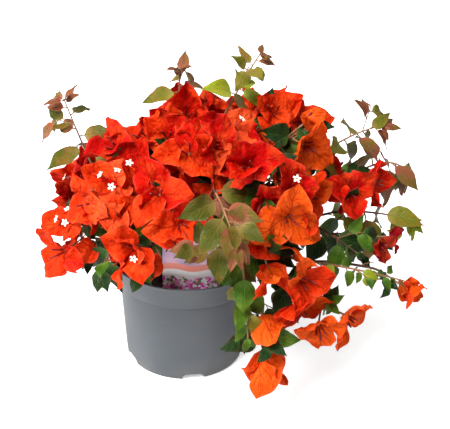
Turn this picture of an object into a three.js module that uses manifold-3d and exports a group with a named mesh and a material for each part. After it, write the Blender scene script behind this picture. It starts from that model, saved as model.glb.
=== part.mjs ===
// A bougainvillea bush in its nursery pot.
//
// Frame: millimetres, +Z up, origin at the centre of the pot's flat underside.
// Azimuth is measured from +X towards +Y, so the front of the bush faces azimuth -90.
//
// The bush grows by one rule. A short trunk stands on the soil and carries tapering boughs. Each bough
// ends in a bud knob that carries a few masses. A mass is either a bloom (heads of three papery bracts)
// or a leafy shoot, grows from one stem, and keeps to its own cell of space.
import * as THREE from 'three';
import { mergeVertices } from 'three/addons/utils/BufferGeometryUtils.js';
import Module from 'manifold-3d';

const wasm = await Module();
wasm.setup();

// ------------------------------------------------------------------ driving dimensions

const CLEARANCE = 0.3;

const POT = {
  rimRadius: 85, bandFootRadius: 74.7, wallTopRadius: 73.4, baseRadius: 67,
  height: 126, bandHeight: 29, wall: 1.8, floor: 2.6, footChamfer: 2.5, sides: 36,
};
const WALL_TOP = POT.height - POT.bandHeight;
const POCKET = {
  count: 5, firstAzimuth: -79, halfWidth: 12.5, height: 5, depth: 15, round: 0.7, beyond: 10,
  drainRadius: 4, drainLength: 12, drainRise: 5, drainSides: 6,
};
const SOIL_TOP = 112;
const LABEL = { left: -21, right: 37, y: -60, foot: 99, top: 170, thickness: 0.8 };

// The trunk's profile: heights above its foot and the radii there, from the root flare to the crown.
const TRUNK = {
  top: 176, leanX: 7, leanY: -4, radius: 8.5, sides: 8,
  profile: [[0, 12], [4, 9.3], [10, 8.5], [24, 7.5], [40, 6.5], [61.7, 6], [63.7, 4.2]],
};

// A bough runs from the trunk to a knob at a share of the way to its masses. A knob that is out over
// the pot's rim keeps knobRoom above it.
const BOUGH = {
  footRadius: 3.4, tipRadius: 2.1, knob: 4.2, steps: 4, sides: 5, run: 0.52, arch: 0.24,
  outReach: 50, knobRoom: 22,
};
const STEM = {
  footRadius: 1.7, tipRadius: 1.2, steps: 4, sides: 3, leave: 0.36, arrive: 0.26,
  spread: 60, passes: 60, backSpread: 1.5, push: 0.3,
};
const PEDICEL = {
  footRadius: 0.9, headRadius: 1.5, endRadius: 1.2, length: 17, sink: 1.1, knee: 0.55, sag: 2, nub: 1.2,
};
const SHOOT = { steps: 3, tipRadius: 0.8 };

// How far a blade's root is sunk past the middle of its twig. The first that fuses soundly is used.
const ROOT_SINKS = [0.35, 0.3, 0.25, 0.2, 0.4, 0.45];

// A blade's outline runs from a point at its root to a point at its tip. Each entry between them is a
// share of its length, and the share of its full width there.
const BRACT = { width: 0.74, thickness: 0.7, curl: 26, fold: -0.10, outline: [[0.3, 0.93], [0.62, 0.86]] };
const LEAF = { width: 0.58, thickness: 0.8, curl: 38, fold: 0.16, outline: [[0.42, 1]] };

// Space that foliage leaves free round the pot, the limbs and other blades. The label stays in sight from
// the front and above: its top edge of sight falls from sightLeft to sightRight, and rises by sightSlope
// for each millimetre in front of it.
const KEEP = {
  rim: 4, limb: 3.2, blade: 3.8, cell: 0.2, labelSide: 3, sightLeft: 168, sightRight: 132, sightSlope: 0.49,
};
const SITE_LIFT = 0.3;
const HEAD_LEAN = 0.022;

// Tries at placing a blade: [degrees closed, share of size] for a bract, [degrees turned, share] for a leaf.
const BRACT_TRIES = [[0, 1], [14, 1], [28, 0.94], [40, 0.86], [50, 0.74], [56, 0.6]];
const LEAF_TRIES = [[0, 1], [35, 1], [-35, 1], [75, 0.9], [-75, 0.9], [140, 0.8], [0, 0.6]];
const TEST_ROWS = [0.22, 0.42, 0.6, 0.8];
const TEST_COLUMNS = 5;

// Leaves turn round a twig by the golden angle, stand off it by their pitch in degrees, and sag. Their
// faces turn up, along the twig, away from the pot's axis, and to the light at the front.
const GOLDEN = 137.5;
const HEAD_LEAVES = { count: 3, share: 1.05, most: 46, pitch: 82, turn: 60 };
const STEM_LEAVES = { shares: [0.4, 0.62, 0.84], size: 40, pitch: 62 };
const LEAF_SAG = { bloom: 0.1, shoot: 0.6 };
const LEAF_FACE = { up: 0.5, along: 0.2, out: 0.35, front: 0.7 };
const SHOOT_LEAVES = { first: 0.13, footShare: 1.05, tipShare: 0.5, footPitch: 68, tipPitch: 34 };

// Boughs: how high on the trunk each one leaves it, and how far its knob swings round from its masses.
const BOUGHS = {
  left_low: [126, 0], left: [142, 0], top_left: [153, 0], front_left: [136, -20], front: [151, 0],
  top: [174, 0], top_right: [160, 0], right: [145, 0], right_low: [131, 0], front_right: [138, 0],
  hanging: [121, 12], back_left: [134, 0], back_right: [148, 0],
};

// Masses. at: [azimuth, reach from the pot's axis, rise above its foot], face: [azimuth, elevation]
// that the blooms open to, or that the shoot grows towards. A bloom has heads spread round its centre
// from the angle roll, and bracts of length size that open by open degrees. A shoot has leaves of
// length size along its length. Leaves that aren't a shoot's own are smaller by leafy, where it is given.
const bloom = (name, bough, at, face, look) => ({ kind: 'bloom', name, bough, at, face, ...look });
const shoot = (name, bough, at, face, look) => ({ kind: 'shoot', name, bough, at, face, ...look });

const MASSES = [
  bloom('bloom_left_low', 'left_low', [-159, 127, 161], [-132, 24],
    { heads: 2, spread: 15, roll: 90, size: 37, open: 58 }),
  bloom('bloom_left_mid', 'left_low', [-140, 95, 212], [-116, 28],
    { heads: 3, spread: 17, roll: 80, size: 39, open: 60 }),
  shoot('leaves_left', 'left_low', [-137, 102, 157], [-112, -30],
    { length: 24, droop: 30, leaves: 3, size: 46 }),
  bloom('bloom_left_high', 'left', [-158, 68, 240], [-118, 36],
    { heads: 2, spread: 15, roll: -40, size: 37, open: 62 }),
  bloom('bloom_far_left', 'left', [176, 119, 194], [172, 25],
    { heads: 1, spread: 0, roll: 0, size: 33, open: 48 }),
  shoot('shoot_left', 'left', [174, 116, 252], [178, 68],
    { length: 66, droop: -12, leaves: 9, size: 50 }),
  bloom('bloom_top_left', 'top_left', [96, 22, 272], [-88, 46],
    { heads: 1, spread: 0, roll: 90, size: 40, open: 52 }),
  bloom('bloom_upper_left', 'top_left', [-170, 30, 256], [-120, 40],
    { heads: 2, spread: 12, roll: 15, size: 36, open: 52 }),
  shoot('shoot_top_left', 'top_left', [107, 37, 303], [100, 78],
    { length: 36, droop: 8, leaves: 6, size: 38 }),
  bloom('bloom_front_left', 'front_left', [-96, 97, 221], [-92, 26],
    { heads: 2, spread: 17, roll: -52, size: 39, open: 56 }),
  bloom('bloom_front_low', 'front_left', [-112, 108, 182], [-108, 24],
    { heads: 1, spread: 0, roll: -72, size: 38, open: 58 }),
  shoot('leaves_label', 'front_left', [-75, 124, 199], [-140, -8],
    { length: 36, droop: 16, leaves: 5, size: 44 }),
  bloom('bloom_mid_top', 'top', [-85, 62, 264], [-97, 40],
    { heads: 1, spread: 0, roll: 60, size: 39, open: 62 }),
  bloom('bloom_centre_top', 'top', [-56, 66, 274], [-78, 38],
    { heads: 2, spread: 12, roll: 50, size: 38, open: 60 }),
  shoot('shoot_top', 'top', [16, 56, 314], [10, 64],
    { length: 78, droop: 10, leaves: 10, size: 42 }),
  bloom('bloom_centre_right', 'front', [-49, 125, 257], [-78, 30],
    { heads: 2, spread: 22, roll: -28, size: 40, open: 62 }),
  shoot('shoot_centre', 'front', [-72, 138, 237], [-72, -8],
    { length: 66, droop: 22, leaves: 9, size: 46 }),
  bloom('bloom_top_right', 'top_right', [2, 100, 280], [-72, 34],
    { heads: 2, spread: 13, roll: -25, size: 38, open: 50 }),
  bloom('bloom_high_right', 'top_right', [-21, 123, 272], [-56, 0],
    { heads: 1, spread: 0, roll: 90, size: 38, open: 46 }),
  shoot('shoot_top_right', 'top_right', [4, 176, 267], [8, 34],
    { length: 62, droop: 22, leaves: 8, size: 46 }),
  bloom('bloom_right', 'right', [-9, 178, 222], [-44, 16],
    { heads: 2, spread: 17, roll: 0, size: 34, open: 56 }),
  shoot('shoot_right', 'right', [5, 218, 238], [8, 26],
    { length: 60, droop: 66, leaves: 8, size: 52 }),
  shoot('leaves_right', 'right', [-8, 206, 194], [-8, 4],
    { length: 50, droop: 16, leaves: 6, size: 54 }),
  shoot('leaves_right_low', 'right_low', [-24, 162, 187], [-34, -4],
    { length: 58, droop: 20, leaves: 8, size: 50 }),
  bloom('bloom_small_right', 'right_low', [-16, 211, 176], [-36, 4],
    { heads: 2, spread: 12, roll: 0, size: 21, open: 40, leafy: 0.6 }),
  shoot('shoot_low_right', 'right_low', [-27, 196, 160], [-8, -4],
    { length: 92, droop: 6, leaves: 12, size: 24, leafy: 0.55 }),
  bloom('bloom_far_right', 'right_low', [-20, 234, 139], [-30, -22],
    { heads: 1, spread: 0, roll: 90, size: 30, open: 34, leafy: 0.5 }),
  bloom('bloom_right_mid', 'front_right', [-46, 144, 222], [-80, 12],
    { heads: 1, spread: 0, roll: 80, size: 43, open: 60 }),
  bloom('bloom_hang_mid', 'front_right', [-46, 164, 150], [-62, -10],
    { heads: 2, spread: 15, roll: 86, size: 38, open: 50 }),
  bloom('bloom_hang_right', 'front_right', [-37, 187, 116], [-62, -22],
    { heads: 2, spread: 14, roll: 10, size: 36, open: 52, leafy: 0.7 }),
  bloom('bloom_hang_left', 'hanging', [-54, 141, 176], [-70, -40],
    { heads: 1, spread: 0, roll: 90, size: 36, open: 34 }),
  shoot('leaves_hang', 'hanging', [-62, 137, 142], [-76, -62],
    { length: 62, droop: 14, leaves: 9, size: 38 }),
  bloom('bloom_hang_low', 'hanging', [-56, 151, 87], [-66, -66],
    { heads: 1, spread: 0, roll: 10, size: 48, open: 20 }),
  bloom('bloom_back_left_low', 'back_left', [150, 134, 172], [148, 14],
    { heads: 3, spread: 19, roll: 30, size: 40, open: 58 }),
  bloom('bloom_back_left', 'back_left', [134, 98, 213], [132, 34],
    { heads: 3, spread: 19, roll: 70, size: 38, open: 58 }),
  bloom('bloom_back_low', 'back_left', [108, 122, 180], [106, 10],
    { heads: 3, spread: 19, roll: 10, size: 40, open: 58 }),
  shoot('leaves_back', 'back_left', [122, 142, 128], [120, -48],
    { length: 64, droop: 20, leaves: 9, size: 42 }),
  bloom('bloom_back_high', 'back_right', [88, 86, 246], [92, 40],
    { heads: 3, spread: 19, roll: 50, size: 41, open: 58 }),
  bloom('bloom_back_right', 'back_right', [52, 128, 238], [56, 30],
    { heads: 3, spread: 20, roll: 0, size: 41, open: 58 }),
  bloom('bloom_back_right_low', 'back_right', [62, 146, 180], [64, 4],
    { heads: 3, spread: 20, roll: 40, size: 40, open: 58 }),
  shoot('leaves_back_right', 'back_right', [30, 190, 196], [26, 2],
    { length: 72, droop: 24, leaves: 10, size: 44 }),
];

const COLOURS = {
  pot: ['#6f7479', 0.55], soil: ['#33261d', 1.0], label: ['#c56f8f', 0.5], bark: ['#5b3a2a', 0.85],
  bloom: ['#e8341c', 0.6], shoot: ['#6f7f2a', 0.55],
};

// ------------------------------------------------------------------ seeded chance and directions

const RAD = Math.PI / 180;
const PRIMES = [374761393, 668265263, 2246822519, 1274126177];
const UP = new THREE.Vector3(0, 0, 1);
const FRONT = new THREE.Vector3(0, -1, 0);

// A number from 0 to 1 that depends only on three whole numbers.
function chance(seed, index, draw) {
  const [a, b, c, d] = PRIMES;
  const sum = Math.imul(seed + 1, a) + Math.imul(index + 7, b) + Math.imul(draw + 3, c);
  const mixed = Math.imul((sum ^ (sum >>> 13)) >>> 0, d);
  return ((mixed ^ (mixed >>> 16)) >>> 0) / 2 ** 32;
}

// A number from -1 to 1.
const sway = (seed, index, draw) => 2 * chance(seed, index, draw) - 1;

function direction([azimuth, elevation]) {
  const flat = Math.cos(elevation * RAD);
  return new THREE.Vector3(
    flat * Math.cos(azimuth * RAD), flat * Math.sin(azimuth * RAD), Math.sin(elevation * RAD));
}

function polar([azimuth, reach, rise]) {
  return new THREE.Vector3(reach * Math.cos(azimuth * RAD), reach * Math.sin(azimuth * RAD), rise);
}

// Two unit vectors across an axis: the first level, the second leaning up.
function across(axis) {
  const level = new THREE.Vector3().crossVectors(UP, axis);
  if (level.lengthSq() < 1e-4) level.set(1, 0, 0);
  level.normalize();
  return [level, new THREE.Vector3().crossVectors(axis, level).normalize()];
}

// The unit vector at an angle round an axis.
function around(axis, angle) {
  const [level, lean] = across(axis);
  return level.multiplyScalar(Math.cos(angle * RAD)).addScaledVector(lean, Math.sin(angle * RAD));
}

const mix = (a, b, t) => a + (b - a) * t;

// The points of a curve at equal shares of its run, ends included.
const steps = (count, curve) => Array.from({ length: count + 1 }, (_, i) => curve(i / count));

// ------------------------------------------------------------------ closed solids

// A BufferGeometry from corner points and triangles.
function shell(points, triangles) {
  const positions = points.flatMap(({ x, y, z }) => [x, y, z]);
  const geometry = new THREE.BufferGeometry();
  geometry.setAttribute('position', new THREE.Float32BufferAttribute(positions, 3));
  geometry.setIndex(triangles.flat());
  return geometry;
}

// Rings of equal size joined into a closed skin. Each end is flat, or drawn to a point.
function skin(rings, root, tip) {
  const sides = rings[0].length;
  const points = rings.flat();
  const triangles = [];
  for (let r = 0; r + 1 < rings.length; r += 1) {
    for (let k = 0; k < sides; k += 1) {
      const a = r * sides + k;
      const b = r * sides + ((k + 1) % sides);
      triangles.push([a, b, b + sides], [a, b + sides, a + sides]);
    }
  }
  const close = (first, point, turn) => {
    const corners = Array.from({ length: sides }, (_, k) => first + k);
    if (turn) corners.reverse();
    if (point) points.push(point);
    corners.forEach((corner, k) => {
      if (point) triangles.push([corner, corners[(k + 1) % sides], points.length - 1]);
      else if (k > 1) triangles.push([corners[0], corners[k - 1], corner]);
    });
  };
  close(0, root, true);
  close((rings.length - 1) * sides, tip, false);
  return shell(points, triangles);
}

// A tapering tube along a path, with a radius for each of its points.
function tube(path, radii, sides) {
  let side = null;
  const rings = path.map((point, i) => {
    const before = path[Math.max(i - 1, 0)];
    const after = path[Math.min(i + 1, path.length - 1)];
    const along = new THREE.Vector3().subVectors(after, before).normalize();
    if (!side) [side] = across(along);
    side = side.clone().addScaledVector(along, -side.dot(along)).normalize();
    const other = new THREE.Vector3().crossVectors(along, side);
    return Array.from({ length: sides }, (_, k) => point.clone()
      .addScaledVector(side, radii[i] * Math.cos((2 * Math.PI * k) / sides))
      .addScaledVector(other, radii[i] * Math.sin((2 * Math.PI * k) / sides)));
  });
  return skin(rings, null, null);
}

function solid(geometry) {
  const bare = geometry.clone();
  bare.deleteAttribute('normal');
  bare.deleteAttribute('uv');
  const merged = mergeVertices(bare, 1e-5);
  return new wasm.Manifold(new wasm.Mesh({
    numProp: 3,
    vertProperties: new Float32Array(merged.attributes.position.array),
    triVerts: new Uint32Array(merged.index.array),
  }));
}

// The body of a fused solid. Loose scraps are dropped, and a hollow that fusing has sealed is filled.
function body(fused) {
  const mesh = fused.getMesh();
  const { numProp, vertProperties, triVerts } = mesh;
  const owner = Array.from({ length: vertProperties.length / numProp }, (_, i) => i);
  const find = (i) => {
    let root = i;
    while (owner[root] !== root) root = owner[root];
    owner[i] = root;
    return root;
  };
  for (let t = 0; t < triVerts.length; t += 3) {
    owner[find(triVerts[t + 1])] = find(triVerts[t]);
    owner[find(triVerts[t + 2])] = find(triVerts[t]);
  }
  const corner = (i) => new THREE.Vector3().fromArray(vertProperties, i * numProp);
  const volumes = new Map();
  for (let t = 0; t < triVerts.length; t += 3) {
    const root = find(triVerts[t]);
    const [a, b, c] = [0, 1, 2].map((k) => corner(triVerts[t + k]));
    volumes.set(root, (volumes.get(root) ?? 0) + a.dot(b.cross(c)) / 6);
  }
  const largest = [...volumes].reduce((best, entry) => (entry[1] > best[1] ? entry : best))[0];
  const kept = [];
  for (let t = 0; t < triVerts.length; t += 3) {
    if (find(triVerts[t]) === largest) kept.push(triVerts[t], triVerts[t + 1], triVerts[t + 2]);
  }
  const geometry = new THREE.BufferGeometry();
  const positions = Float32Array.from({ length: owner.length * 3 },
    (_, i) => vertProperties[Math.floor(i / 3) * numProp + (i % 3)]);
  geometry.setAttribute('position', new THREE.BufferAttribute(positions, 3));
  geometry.setIndex(kept);
  return mergeVertices(geometry.toNonIndexed(), 1e-4);
}

// Whether every edge still joins two faces when points closer than a thousandth are merged.
function isSound(geometry) {
  const merged = mergeVertices(geometry.clone(), 1e-3);
  const corners = merged.index.array;
  const faces = new Map();
  for (let t = 0; t < corners.length; t += 3) {
    const face = [corners[t], corners[t + 1], corners[t + 2]];
    if (new Set(face).size < 3) continue;
    face.forEach((corner, k) => {
      const edge = [corner, face[(k + 1) % 3]].sort((a, b) => a - b).join();
      faces.set(edge, (faces.get(edge) ?? 0) + 1);
    });
  }
  return [...faces.values()].every((count) => count === 2);
}

function fuse(solids) {
  return wasm.Manifold.union(solids);
}

// ------------------------------------------------------------------ pot, soil and label

function lathe(profile) {
  const geometry = new THREE.LatheGeometry(profile.map(([r, z]) => new THREE.Vector2(r, z)), POT.sides);
  geometry.rotateX(Math.PI / 2);
  return solid(geometry);
}

function wallRadius(z) {
  return mix(POT.baseRadius, POT.wallTopRadius, z / WALL_TOP);
}

// A drainage pocket under the pot's edge: a low arch that runs in from the wall, larger by grow.
function pocket(azimuth, grow) {
  const arch = new THREE.Shape();
  const halfWidth = POCKET.halfWidth + grow;
  const crown = POCKET.height + grow;
  const under = -POCKET.height;
  arch.moveTo(-halfWidth, under);
  arch.lineTo(halfWidth, under);
  arch.lineTo(halfWidth, 0);
  arch.quadraticCurveTo(halfWidth * POCKET.round, crown, 0, crown);
  arch.quadraticCurveTo(-halfWidth * POCKET.round, crown, -halfWidth, 0);
  arch.closePath();
  const depth = POCKET.depth + POCKET.beyond + grow;
  const geometry = new THREE.ExtrudeGeometry(arch, { depth, bevelEnabled: false, curveSegments: 2 });
  geometry.rotateX(Math.PI / 2);
  geometry.rotateZ(Math.PI / 2);
  geometry.translate(POT.baseRadius - POCKET.depth - grow, 0, 0);
  geometry.rotateZ(azimuth * RAD);
  return solid(geometry);
}

const pocketAzimuths = Array.from({ length: POCKET.count },
  (_, k) => POCKET.firstAzimuth + (360 * k) / POCKET.count);

function drain(azimuth) {
  const { drainRadius, drainLength, drainRise, drainSides } = POCKET;
  const geometry = new THREE.CylinderGeometry(drainRadius, drainRadius, drainLength, drainSides);
  geometry.rotateX(Math.PI / 2);
  geometry.translate(POT.baseRadius - POCKET.depth * 0.6, 0, drainRise);
  geometry.rotateZ(azimuth * RAD);
  return solid(geometry);
}

// The inside of the pot's wall at a height: tapered below the band, and flared within it.
function innerRadius(z) {
  const outer = z < WALL_TOP ? wallRadius(z)
    : mix(POT.wallTopRadius, POT.rimRadius, (z - WALL_TOP) / POT.bandHeight);
  return outer - POT.wall;
}

// The space inside the pot from foot up to top, smaller all round by inset.
function hollow(foot, top, inset) {
  return lathe([0, foot, WALL_TOP, top].map((z, i) => (i === 0 ? [0, foot] : [innerRadius(z) - inset, z]))
    .concat([[0, top]]));
}

function potSolid() {
  const outside = lathe([
    [0, 0],
    [POT.baseRadius - POT.footChamfer, 0],
    [POT.baseRadius, POT.footChamfer],
    [POT.wallTopRadius, WALL_TOP - 1],
    [POT.bandFootRadius + 0.8, WALL_TOP],
    [POT.rimRadius, POT.height],
    [0, POT.height],
  ]);
  const pockets = pocketAzimuths.map((azimuth) => pocket(azimuth, 0));
  const lined = fuse(pocketAzimuths.map((azimuth) => pocket(azimuth, POT.wall)));
  return outside
    .subtract(fuse(pockets))
    .subtract(hollow(POT.floor, POT.height + 5, 0).subtract(lined))
    .subtract(fuse(pocketAzimuths.map(drain)));
}

function box(low, high) {
  const geometry = new THREE.BoxGeometry(high[0] - low[0], high[1] - low[1], high[2] - low[2]);
  geometry.translate((low[0] + high[0]) / 2, (low[1] + high[1]) / 2, (low[2] + high[2]) / 2);
  return solid(geometry);
}

// The label's card, larger by grow.
function card(grow) {
  const half = LABEL.thickness / 2 + grow;
  return box(
    [LABEL.left - grow, LABEL.y - half, LABEL.foot - grow],
    [LABEL.right + grow, LABEL.y + half, LABEL.top],
  );
}

// The soil rests on the roofs of the pockets and against the wall.
function soilSolid() {
  const foot = POCKET.height + POT.wall + CLEARANCE;
  return hollow(foot, SOIL_TOP, CLEARANCE).subtract(card(CLEARANCE));
}

// ------------------------------------------------------------------ trunk and boughs

function trunkAxis(z) {
  const t = (z - SOIL_TOP) / (TRUNK.top - SOIL_TOP);
  return new THREE.Vector3(TRUNK.leanX * t * t, TRUNK.leanY * t * t, z);
}

// How much a tube's corners move out for its flat sides to move out by grow.
const cornerRoom = (grow, sides) => grow / Math.cos(Math.PI / sides);

// The trunk flares into its roots at the soil, and is larger all round by grow.
function trunkSolid(grow) {
  const path = TRUNK.profile.map(([height]) => trunkAxis(SOIL_TOP + CLEARANCE + height));
  path[path.length - 1].z += grow;
  const radii = TRUNK.profile.map(([, radius]) => radius + cornerRoom(grow, TRUNK.sides));
  return solid(tube(path, radii, TRUNK.sides));
}

function members(bough) {
  return MASSES.filter((mass) => mass.bough === bough);
}

// A bough's curve: from the trunk's axis, arching, to a knob part of the way to its masses.
function boughCurve(bough) {
  const [height, swing] = BOUGHS[bough];
  const foot = trunkAxis(height);
  const mean = new THREE.Vector3();
  for (const mass of members(bough)) mean.add(mass.root);
  mean.divideScalar(members(bough).length);
  const knob = foot.clone().lerp(mean.applyAxisAngle(UP, swing * RAD), BOUGH.run);
  if (Math.hypot(knob.x, knob.y) > BOUGH.outReach) knob.z = Math.max(knob.z, POT.height + BOUGH.knobRoom);
  const lean = foot.clone().lerp(knob, 0.5);
  lean.z += BOUGH.arch * foot.distanceTo(knob);
  return { foot, lean, knob, backward: lean.clone().sub(knob).normalize() };
}

function boughPath({ foot, lean, knob }) {
  return steps(BOUGH.steps, (t) => new THREE.QuadraticBezierCurve3(foot, lean, knob).getPoint(t));
}

function boughRadius(t) {
  return mix(BOUGH.footRadius, BOUGH.tipRadius, t);
}

// A knob whose flat faces move out by grow. They lie at a share of 0.79 of its corners' radius.
function knobSolid(centre, grow) {
  const geometry = new THREE.IcosahedronGeometry(BOUGH.knob + grow / 0.79, 0);
  geometry.translate(centre.x, centre.y, centre.z);
  return solid(geometry);
}

// A bough with its knob, larger all round by grow, before its foot is cut clear of the trunk.
function boughSolid(curve, grow) {
  const path = boughPath(curve);
  const radii = path.map((_, i) => boughRadius(i / BOUGH.steps) + cornerRoom(grow, BOUGH.sides));
  return fuse([solid(tube(path, radii, BOUGH.sides)), knobSolid(curve.knob, grow)]);
}

// ------------------------------------------------------------------ the rule for stems

// Where a mass is held: behind the heads of a bloom, or at the foot of a shoot's axis.
function massRoot(mass) {
  const centre = polar(mass.at);
  const face = direction(mass.face);
  if (mass.kind === 'bloom') return centre.addScaledVector(face, -PEDICEL.length);
  return centre.addScaledVector(face, -mass.length / 2);
}

// The stems that leave one knob start apart, by at least the spread angle.
function spreadStems(curve, masses) {
  const ways = masses.map((mass) => mass.root.clone().sub(curve.knob).normalize());
  const least = STEM.spread * RAD;
  for (let pass = 0; pass < STEM.passes; pass += 1) {
    for (let i = 0; i < ways.length; i += 1) {
      const others = ways.filter((_, j) => j !== i);
      for (const other of [...others, curve.backward]) {
        const gap = ways[i].angleTo(other);
        const need = other === curve.backward ? least * STEM.backSpread : least;
        if (gap >= need) continue;
        const apart = ways[i].clone().sub(other).normalize();
        ways[i].addScaledVector(apart, STEM.push * (need - gap)).normalize();
      }
    }
  }
  return ways;
}

// A stem leaves the knob its own way, and bends round to run into its mass along the mass's face.
function stemCurve(curve, way, mass) {
  const distance = curve.knob.distanceTo(mass.root);
  const leave = curve.knob.clone().addScaledVector(way, STEM.leave * distance);
  const arrive = mass.root.clone().addScaledVector(direction(mass.face), -STEM.arrive * distance);
  return (t) => new THREE.CubicBezierCurve3(curve.knob, leave, arrive, mass.root).getPoint(t);
}

// A shoot's own axis, from its root to its tip, drooping along its length.
function shootPoint(mass, t) {
  const droop = mass.droop * RAD;
  const along = mass.length * t * Math.cos((droop * t) / 2);
  const sag = (Math.sin(droop) * mass.length * t * t) / 2;
  return mass.root.clone().addScaledVector(direction(mass.face), along).addScaledVector(UP, -sag);
}

// ------------------------------------------------------------------ the rule for space

// Each mass has a site. Its cell is the space nearer to that site than to any other.
function massSite(mass) {
  const lift = mass.kind === 'bloom' ? mass.size * SITE_LIFT : 0;
  return polar(mass.at).addScaledVector(direction(mass.face), lift);
}

function insideCell(mass, point) {
  const own = point.distanceToSquared(mass.site);
  return MASSES.every((other) => {
    if (other === mass) return true;
    const gap = (point.distanceToSquared(other.site) - own) / (2 * other.site.distanceTo(mass.site));
    return gap >= KEEP.cell;
  });
}

function clearOfPot(point) {
  if (point.z > POT.height + KEEP.rim) return true;
  return Math.hypot(point.x, point.y) > POT.rimRadius + KEEP.rim;
}

function clearOfLabel(point) {
  const beside = point.x < LABEL.left - KEEP.labelSide || point.x > LABEL.right + KEEP.labelSide;
  if (beside || point.y > LABEL.y + KEEP.labelSide) return true;
  const across = (point.x - LABEL.left) / (LABEL.right - LABEL.left);
  const sight = mix(KEEP.sightLeft, KEEP.sightRight, across) + KEEP.sightSlope * (LABEL.y - point.y);
  const touch = point.y > LABEL.y - KEEP.labelSide ? LABEL.top + KEEP.labelSide : 0;
  return point.z > Math.max(sight, touch);
}

function segmentDistance(point, a, b) {
  const run = b.clone().sub(a);
  const t = THREE.MathUtils.clamp(point.clone().sub(a).dot(run) / run.lengthSq(), 0, 1);
  return a.clone().addScaledVector(run, t).distanceTo(point);
}

function clearOfLimbs(mass, point) {
  return limbs.every((limb) => limb.owner === mass || !limb.room.containsPoint(point)
    || segmentDistance(point, limb.a, limb.b) > limb.radius + KEEP.limb);
}

// Blades of one mass keep apart too, except near their roots.
function clearOfBlades(mass, points) {
  const outer = points.slice(TEST_COLUMNS);
  return mass.blades.every((blade) => blade.points.slice(TEST_COLUMNS)
    .every((there) => outer.every((here) => here.distanceTo(there) > KEEP.blade)));
}

function fits(mass, points) {
  return points.every((point) => insideCell(mass, point) && clearOfPot(point) && clearOfLabel(point)
    && clearOfLimbs(mass, point)) && clearOfBlades(mass, points);
}

function limbSegments(owner, path, radii) {
  return path.slice(1).map((b, i) => {
    const a = path[i];
    const radius = Math.max(radii[i], radii[i + 1]);
    const room = new THREE.Box3().setFromPoints([a, b]).expandByScalar(radius + KEEP.limb);
    return { owner, a, b, radius, room };
  });
}

// ------------------------------------------------------------------ the rule for blades

// A blade grows from root along way, with its upper face towards top. Its midrib bends down by curl
// degrees in all, and its half-width at each share of its length comes from outline.
function bladeFrame({ root, way, top, length, curl }, t) {
  const angle = curl * RAD * t;
  const radius = length / (curl * RAD);
  const centre = root.clone().addScaledVector(way, radius * Math.sin(angle))
    .addScaledVector(top, -radius * (1 - Math.cos(angle)));
  const normal = top.clone().multiplyScalar(Math.cos(angle)).addScaledVector(way, Math.sin(angle));
  return { centre, normal };
}

function bladeRings(blade) {
  const side = new THREE.Vector3().crossVectors(blade.way, blade.top).normalize();
  return blade.outline.map(([t, share]) => {
    const { centre, normal } = bladeFrame(blade, t);
    const half = share * blade.width / 2;
    const raise = blade.fold * half;
    return [
      centre.clone().addScaledVector(side, -half).addScaledVector(normal, raise),
      centre.clone().addScaledVector(normal, blade.thickness / 2),
      centre.clone().addScaledVector(side, half).addScaledVector(normal, raise),
      centre.clone().addScaledVector(normal, -blade.thickness / 2),
    ];
  });
}

function bladeSolid(blade, sink) {
  const root = blade.root.clone().addScaledVector(blade.way, -sink);
  return solid(skin(bladeRings(blade), root, bladeFrame(blade, 1).centre));
}

// Points over a blade, row by row, close enough together to test it against its neighbours.
function bladePoints(blade) {
  const side = new THREE.Vector3().crossVectors(blade.way, blade.top).normalize();
  const points = [];
  for (const t of TEST_ROWS) {
    const { centre, normal } = bladeFrame(blade, t);
    const half = outlineShare(blade.outline, t) * blade.width / 2;
    for (let k = -1; k <= 1; k += 2 / (TEST_COLUMNS - 1)) {
      points.push(centre.clone().addScaledVector(side, k * half)
        .addScaledVector(normal, blade.fold * half * Math.abs(k)));
    }
  }
  points.push(bladeFrame(blade, 1).centre);
  return points;
}

function outlineShare(outline, t) {
  const all = [[0, 0], ...outline, [1, 0]];
  const next = Math.max(all.findIndex(([u]) => u >= t), 1);
  const [[t0, s0], [t1, s1]] = [all[next - 1], all[next]];
  return mix(s0, s1, (t - t0) / (t1 - t0));
}

// Adds a blade to its mass if there is room for it.
function place(mass, blade) {
  const points = bladePoints(blade);
  if (!fits(mass, points)) return false;
  mass.blades.push({ ...blade, points });
  return true;
}

// One of the three bracts of a head. It closes, then shortens, until it fits.
function bract(mass, head, k) {
  const spin = around(head.axis, head.roll + 120 * k);
  const wide = mass.size * (1 + 0.08 * sway(mass.seed, head.index, 10 + k));
  for (const [closing, share] of BRACT_TRIES) {
    const open = (mass.open + 8 * sway(mass.seed, head.index, 20 + k) - closing) * RAD;
    const found = place(mass, {
      ...BRACT,
      root: head.centre,
      way: head.axis.clone().multiplyScalar(Math.cos(open)).addScaledVector(spin, Math.sin(open)),
      top: head.axis.clone().multiplyScalar(Math.sin(open)).addScaledVector(spin, -Math.cos(open)),
      length: wide * share,
      width: wide * share * BRACT.width,
    });
    if (found) return;
  }
}

// Where the upper side of a leaf looks.
function leafFace(root, along) {
  const { up, along: forth, out, front } = LEAF_FACE;
  const face = UP.clone().multiplyScalar(up).addScaledVector(along, forth).addScaledVector(FRONT, front);
  return face.addScaledVector(root.clone().setZ(0).normalize(), out);
}

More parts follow.
